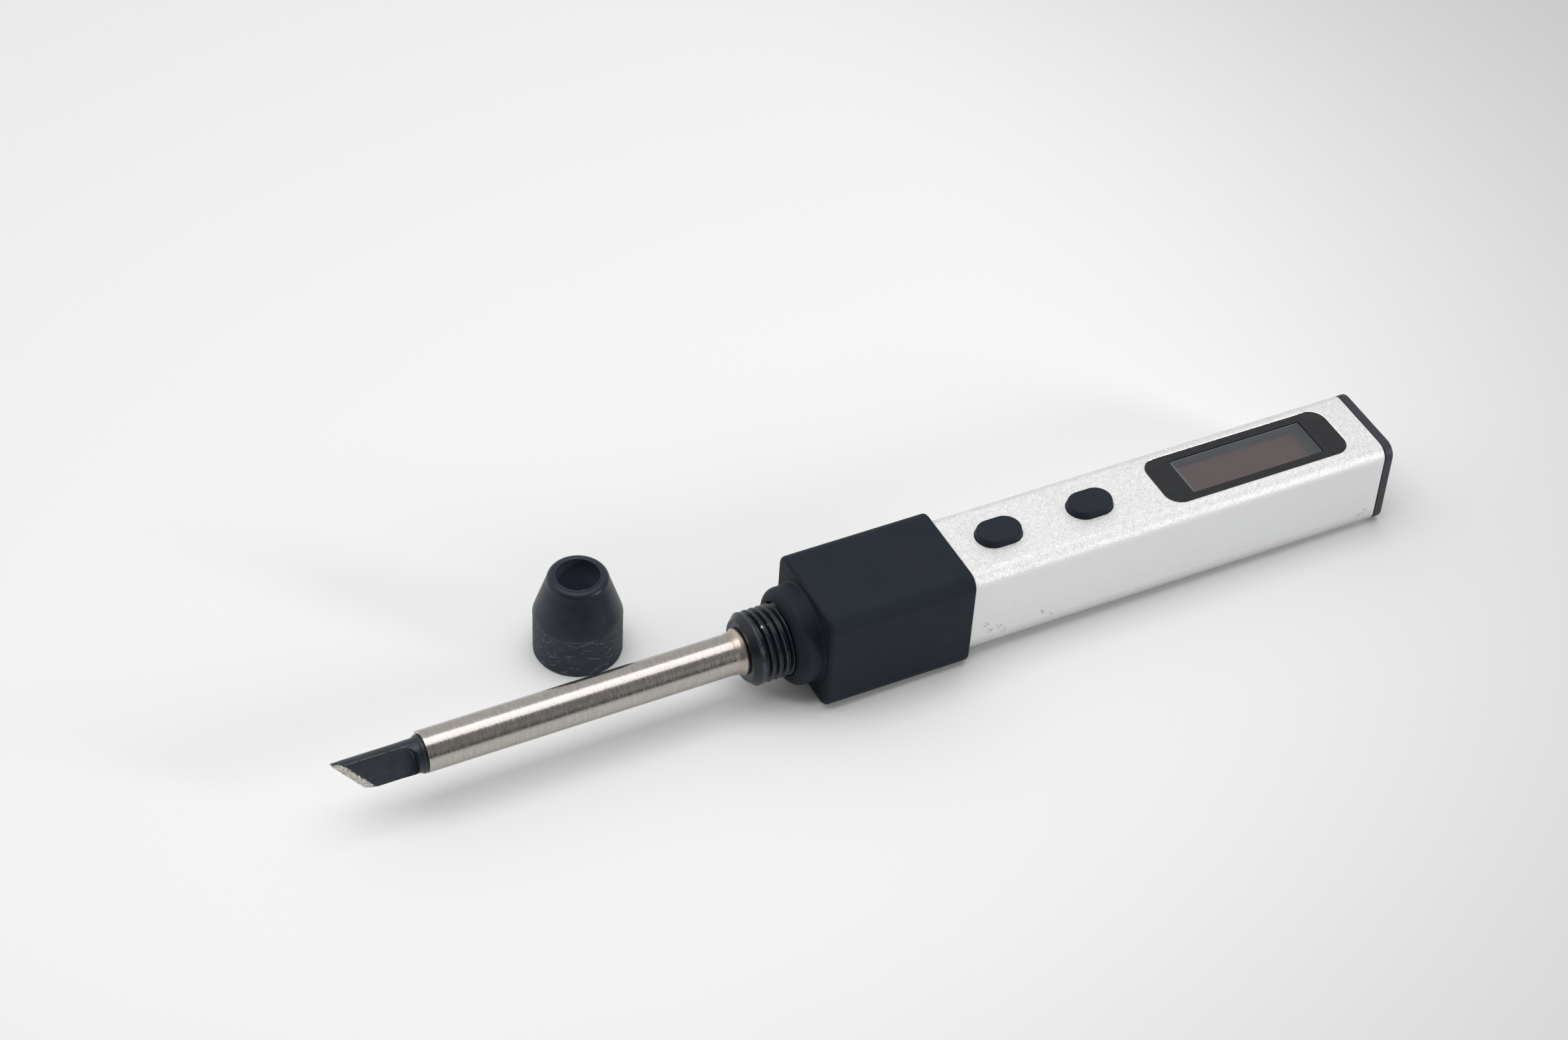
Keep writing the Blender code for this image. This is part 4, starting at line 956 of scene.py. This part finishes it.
def make_nut(finish):
    small, big = NUT_THREAD
    front, rear = NUT_THREAD_X
    low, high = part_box("retaining_nut")
    tall, radius = high.z - low.z, (high.y - low.y) / 2
    steps = 3 * CORNER_STEPS + 2
    columns = 4 * (steps + 1)
    angles = [(k + 0.5) / columns * 2 * math.pi for k in range(columns)]

    def ring(place_at):
        """place_at(angle) gives the height and the radius there."""
        return [point_round(*place_at(angle), angle) for angle in angles]

    before = circles([(0.0, big + NUT_THREAD_LEAD), (front - 2 * LAND, big + LAND)], steps)
    edge = NUT_HOLE_EDGE
    profile = [(rear, small - 2 * LAND), (NUT_SHOULDER, NUT_HOLE + 2 * edge)]
    profile += [(x, NUT_HOLE) for x in (NUT_SHOULDER, tall - edge)]
    profile += [(x, NUT_HOLE + edge - inset) for x, inset in rounding(tall, edge, 1, 3)[:0:-1]]
    profile += [(x, NUT_RIM - inset) for x, inset in rounding(tall, NUT_RIM_ROUND, 1, 9)[::-1]]
    cone_rows, cone_top = 8, tall - NUT_RIM_ROUND
    for step in range(1, cone_rows):
        x = cone_top + (NUT_BAND + 0.2 * MM - cone_top) * step / cone_rows
        share = (cone_top - x) / (cone_top - NUT_BAND)
        profile.append((x, NUT_RIM + (radius - NUT_RIM) * share))
    after = circles(profile, steps)

    def seam_x(angle):
        around = (math.cos(angle), math.sin(angle), 0)
        return NUT_BAND + NUT_WOBBLE * ruffled(around, 0.16, 5.0)

    for down, inset in NUT_SEAM_EDGE:
        after.append(ring(lambda angle: (seam_x(angle) - down, radius - inset)))
    band_rows, band_top = 34, NUT_BAND - NUT_SEAM
    for step in range(band_rows + 1):
        x = band_top - (band_top - NUT_CHAMFER) * step / band_rows
        after.append(ring(lambda angle: (x, radius - knurl(x, angle))))
    after += circles([(0.0, radius - NUT_CHAMFER)], steps)
    bm = threaded(before, front, NUT_TURNS, NUT_THREAD, after)
    nut = mesh_object("loose_nut", bm, finish)
    place(nut, "retaining_nut", NUT, weighted=False)


# ---- Cartridge ----


def make_barrel(finish):
    low, high = pen_box("cartridge_barrel")
    profile = [(low.x, BARREL_INSIDE)]
    profile += [(x, BARREL_RADIUS - inset) for x, inset in rounding(low.x, BARREL_CHAMFER, -1, 3)[::-1]]
    flare_front, flare_steps = high.x - FLARE_LENGTH, 10
    start = BARREL_RADIUS + FLARE_STEP
    profile.append((flare_front - FLARE_STEP, BARREL_RADIUS))
    for step in range(flare_steps + 1):
        share = step / flare_steps
        radius = start + (high.y - start) * share**3
        profile.append((flare_front + share * (FLARE_LENGTH - FLARE_LIP), radius))
    profile += [(x, high.y - inset) for x, inset in rounding(high.x, 2 * BARREL_CHAMFER, 1, 3)]
    profile.append((high.x, BARREL_INSIDE))
    bm = loft(circles(profile, FINE_STEPS), closed=True)
    place(mesh_object("steel_barrel", bm, finish), "cartridge_barrel", PEN)


def blade_section(depth, thickness, wear=0.0, aside=0.0):
    """Points round the blade: depth(up) gives x, thickness(x, up) caps the half thickness.

    aside moves the cap of the near flat towards the far one.
    """
    points = []
    for side, up in outline(BLADE_RADIUS, BLADE_RADIUS, BLADE_RADIUS, FINE_STEPS):
        up -= BLADE_DROP
        x = depth(up)
        most = thickness(x, up)
        near, far = aside - most, min(BLADE_HALF_THICKNESS, aside + most) if aside else most
        if not near < side < far:
            side = (near if side <= near else far) + wear * ruffled((x, side, up), 0.4 * MM, 2.0)
        points.append(rolled(x, side, up))
    return points


def rolled(x, side, up):
    """The blade's own side and height, turned to the roll at which the knife sits."""
    y = side * math.cos(BLADE_ROLL) + up * math.sin(BLADE_ROLL)
    z = up * math.cos(BLADE_ROLL) - side * math.sin(BLADE_ROLL)
    return Vector((x, y, z))


def flat_thickness(x, up):
    """Half the blade's thickness: a flat that ends in a round, concave run-out."""
    centre_x, centre_up = FLAT_CENTRE
    reach = math.hypot(max(0.0, x - centre_x), up - centre_up)
    if x <= centre_x:
        return BLADE_HALF_THICKNESS
    share = min(1.0, max(0.0, (reach - FLAT_RADIUS) / FLAT_FILLET))
    rise = 1 - math.sqrt(1 - share**2)
    return BLADE_HALF_THICKNESS + (BLADE_RADIUS - BLADE_HALF_THICKNESS) * rise


def edge_thickness(share, below):
    """Half the thickness across the bevel, at that share of it and that far below the top.

    The knife thins to its edge, but its point stays blunt.
    """
    thin = BLADE_HALF_THICKNESS + (BLADE_EDGE_HALF - BLADE_HALF_THICKNESS) * share
    blunt = math.sqrt(max(0.0, 1 - below / BLADE_NOSE))
    return thin + max(0.0, BLADE_NOSE_HALF - thin) * blunt


def blade_circle(x, radius):
    """A circle round the blade's own axis, which is a little below the pen's."""
    ring = outline(radius, radius, radius, FINE_STEPS)
    return [rolled(x, side, up - BLADE_DROP) for side, up in ring]


def neck_section(x):
    """The round neck that sinks from the collar to the blade."""
    share = (TIP_COLLAR_FRONT - x) / (TIP_COLLAR_FRONT - TIP_NECK_FRONT)
    return blade_circle(x, TIP_COLLAR + (BLADE_RADIUS - TIP_COLLAR) * math.sqrt(1 - (1 - share) ** 2))


def make_knife_tip(finish):
    low, high = pen_box("knife_tip")
    front = pen_box("cartridge_barrel")[0].x
    top = BLADE_RADIUS - BLADE_DROP
    lean = (TIP_HEEL_X - low.x) / (2 * BLADE_RADIUS)

    def cut_at(up, back):
        blunt = max(0.0, BLADE_TIP_ROUND - (top - up)) ** 2 / BLADE_TIP_ROUND
        return low.x + back + blunt + (top - up) * lean

    inside, collar_rear = BARREL_INSIDE - SEAM, front - FINE_SEAM
    sections = circles([(high.x, inside), (collar_rear, inside)], FINE_STEPS)
    sections.append(blade_circle(collar_rear, TIP_COLLAR))
    neck_steps = 8
    for step in range(neck_steps + 1):
        share = (step / neck_steps) ** 2
        sections.append(neck_section(TIP_COLLAR_FRONT + share * (TIP_NECK_FRONT - TIP_COLLAR_FRONT)))
    flat_steps, flat_rear = 32, TIP_NECK_FRONT - SEAM
    for step in range(flat_steps + 1):
        x = flat_rear + (FLAT_CENTRE[0] - flat_rear) * step / flat_steps
        sections.append(blade_section(lambda up: x, flat_thickness))
    bevel_steps = 10
    for step in range(bevel_steps + 1):
        share = step / bevel_steps
        sections.append(blade_section(
            lambda up: cut_at(up, BLADE_BEVEL * (1 - share)),
            lambda x, up: edge_thickness(share, top - up),
            BLADE_WEAR if 0 < step < bevel_steps else 0.0,
            BLADE_EDGE_ASIDE * share,
        ))
    place(mesh_object("knife_bit", loft(sections), finish), "knife_tip", PEN)


# ---- Buttons and display ----


def make_button(name, finish):
    low, high = pen_box(name)
    centre, wide = middle_of(name)
    half_x, half_y = BUTTON_HALF
    housing_top = pen_box("housing")[1].z
    sections = [level(centre.x, wide.x, wide.y, wide.y, z) for z in (low.z, BUTTON_FLANGE_HIGH)]
    for z in (BUTTON_FLANGE_HIGH, housing_top + SEAM):
        sections.append(level(centre.x, half_x, half_y, half_y, z))
    for z, inset in rounding(high.z, BUTTON_ROUND, 1, 8):
        inset += BUTTON_DRAFT
        sections.append(level(centre.x, half_x - inset, half_y - inset, half_y - inset, z))
    inset = BUTTON_ROUND + BUTTON_DRAFT
    for share in (0.6, 0.3):
        reach_x, reach_y = half_x - inset - (1 - share) * half_y, share * (half_y - inset)
        sections.append(level(centre.x, reach_x, reach_y, reach_y, high.z))
    place(mesh_object(f"{name}_cap", loft(sections), finish), name, PEN)


def make_bezel(finish):
    low, high = pen_box("display_bezel")
    centre, reach = middle_of("display_bezel")
    reach += Vector((1, 1, 0)) * (SEAM - FINE_SEAM)
    middle, window = middle_of("display_lens")
    half_x, half_y = window.x + SEAM, window.y + SEAM
    corner = DISPLAY_CORNER - FINE_SEAM
    ring = [level(centre.x, reach.x, reach.y, corner, low.z)]
    for z, inset in rounding(high.z, BEZEL_EDGE, 1, 4):
        ring.append(level(centre.x, reach.x - inset, reach.y - inset, corner - inset, z))
    for out, z in ((WINDOW_LIP, high.z), (0.0, high.z - WINDOW_LIP), (BEZEL_UNDERCUT, low.z)):
        ring.append(level(middle.x, half_x + out, half_y + out, WINDOW_CORNER + out, z))
    place(mesh_object("display_frame", loft(ring, closed=True), finish), "display_bezel", PEN)


def make_lens(finish):
    low, high = pen_box("display_lens")
    centre, reach = middle_of("display_lens")
    reach += Vector((1, 1, 0)) * (SEAM - FINE_SEAM)
    corner = WINDOW_CORNER - FINE_SEAM
    pane = []
    for inset, z in ((0.0, low.z), (0.0, high.z - PANE_BEVEL), (PANE_BEVEL, high.z)):
        pane.append(level(centre.x, reach.x - inset, reach.y - inset, corner - inset, z))
    place(mesh_object("display_pane", loft(pane), finish), "display_lens", PEN)


# ---- CAD nodes that keep their shape ----


def dress_cad_nodes():
    """Gives each node that is shown as it is the material of its slot."""
    plastics = (
        ("black_plastic", "inner_plastic", (0.020, 0.021, 0.024), (0.030, 0.031, 0.034), 0.5),
        ("chip_black", "chip_epoxy", (0.016, 0.016, 0.018), (0.026, 0.026, 0.028), 0.45),
        ("switch_plunger", "plunger_plastic", (0.04, 0.04, 0.045), (0.06, 0.06, 0.065), 0.4),
        ("flex_film", "amber_film", (0.26, 0.11, 0.015), (0.34, 0.15, 0.03), 0.3),
    )
    finishes = {
        **{slot: moulded_plastic(*settings) for slot, *settings in plastics},
        "screw_steel": plain_steel("screw_steel", (0.30, 0.30, 0.31), (0.46, 0.46, 0.47)),
        "socket_steel": plain_steel("socket_steel", (0.50, 0.50, 0.51), (0.66, 0.66, 0.67)),
        "contact_brass": brass(),
        "board_green": circuit_green(),
        "capacitor_tan": capacitor_finish(),
        "oled_glass": display_panel(),
        "ceramic": ceramic(),
    }
    for name, node in frame["nodes"].items():
        if node.hide_render:
            continue
        node.data.materials.clear()
        node.data.materials.append(finishes[SLOT_OF[name]])


# ---- Studio ----


def make_floor():
    bm = bmesh.new()
    bmesh.ops.create_grid(bm, x_segments=8, y_segments=8, size=3.0)
    made = Finish("pale_paper", Roughness=0.7, Specular_IOR_Level=0.1)
    # Painted pool of light: the floor's colour is lighter near the pen and darker towards the edges.
    painted_light_pool = made.ramp(made.near((-0.05, 0.075, 0.0), 0.30), 0.0, 0.75)
    tone = made.blend(painted_light_pool, (0.56, 0.563, 0.563), (0.875, 0.877, 0.877))
    floor = mesh_object("floor", bm, made.done(Base_Color=tone))


def make_surroundings():
    """A pale tent: bright behind the pen, dim on the camera's side and dimmest low down there."""
    world = bpy.data.worlds.new("studio")
    bpy.context.scene.world = world
    made = Tree(world)
    way = made.parts(made.place("Generated"))
    front = made.blend(made.ramp(way["Z"], 0.0, 0.5), (0.10, 0.10, 0.105), (0.31, 0.31, 0.31))
    behind = made.blend(made.ramp(way["X"], -0.3, 0.5), (1.20, 1.20, 1.20), (0.80, 0.80, 0.80))
    sky = made.blend(made.ramp(way["Y"], -0.15, 0.2), front, behind)
    made.give(made.nodes["Background"], {"Color": sky, "Strength": 0.85})


def main():
    bpy.context.scene.view_settings.view_transform = "Standard"
    make_camera()
    make_floor()
    make_surroundings()
    area_light("softbox", at=(-0.02, 0.01, 0.42), aim=(-0.02, 0.01, 0.0), size=(0.48, 0.31), power=0.92)
    area_light("fill", at=(0.60, -0.63, 0.27), aim=(0.03, 0.0, 0.0), size=(0.2, 0.2), power=3.1)

    rubber = silicone("sleeve_silicone", (0.0072, 0.0118, 0.0195), (0.0090, 0.0137, 0.0215), dust=0.16)
    caps = silicone("button_silicone", (0.011, 0.015, 0.024), (0.013, 0.017, 0.026))
    make_housing(aluminium())
    make_end_cap(moulded_plastic("cap_plastic", (0.028, 0.0300, 0.039), (0.033, 0.0350, 0.044), 0.5, 0.35))
    make_sleeve(rubber)
    make_nose(nose_black())
    make_nut(nut_black())
    make_barrel(brushed_steel())
    make_knife_tip(knife_finish())
    for name in BUTTONS:
        make_button(name, caps)
    make_bezel(moulded_plastic("display_frame", (0.012, 0.013, 0.016), (0.015, 0.016, 0.019), 0.22, 0.32))
    make_lens(window_glass())
    dress_cad_nodes()


main()
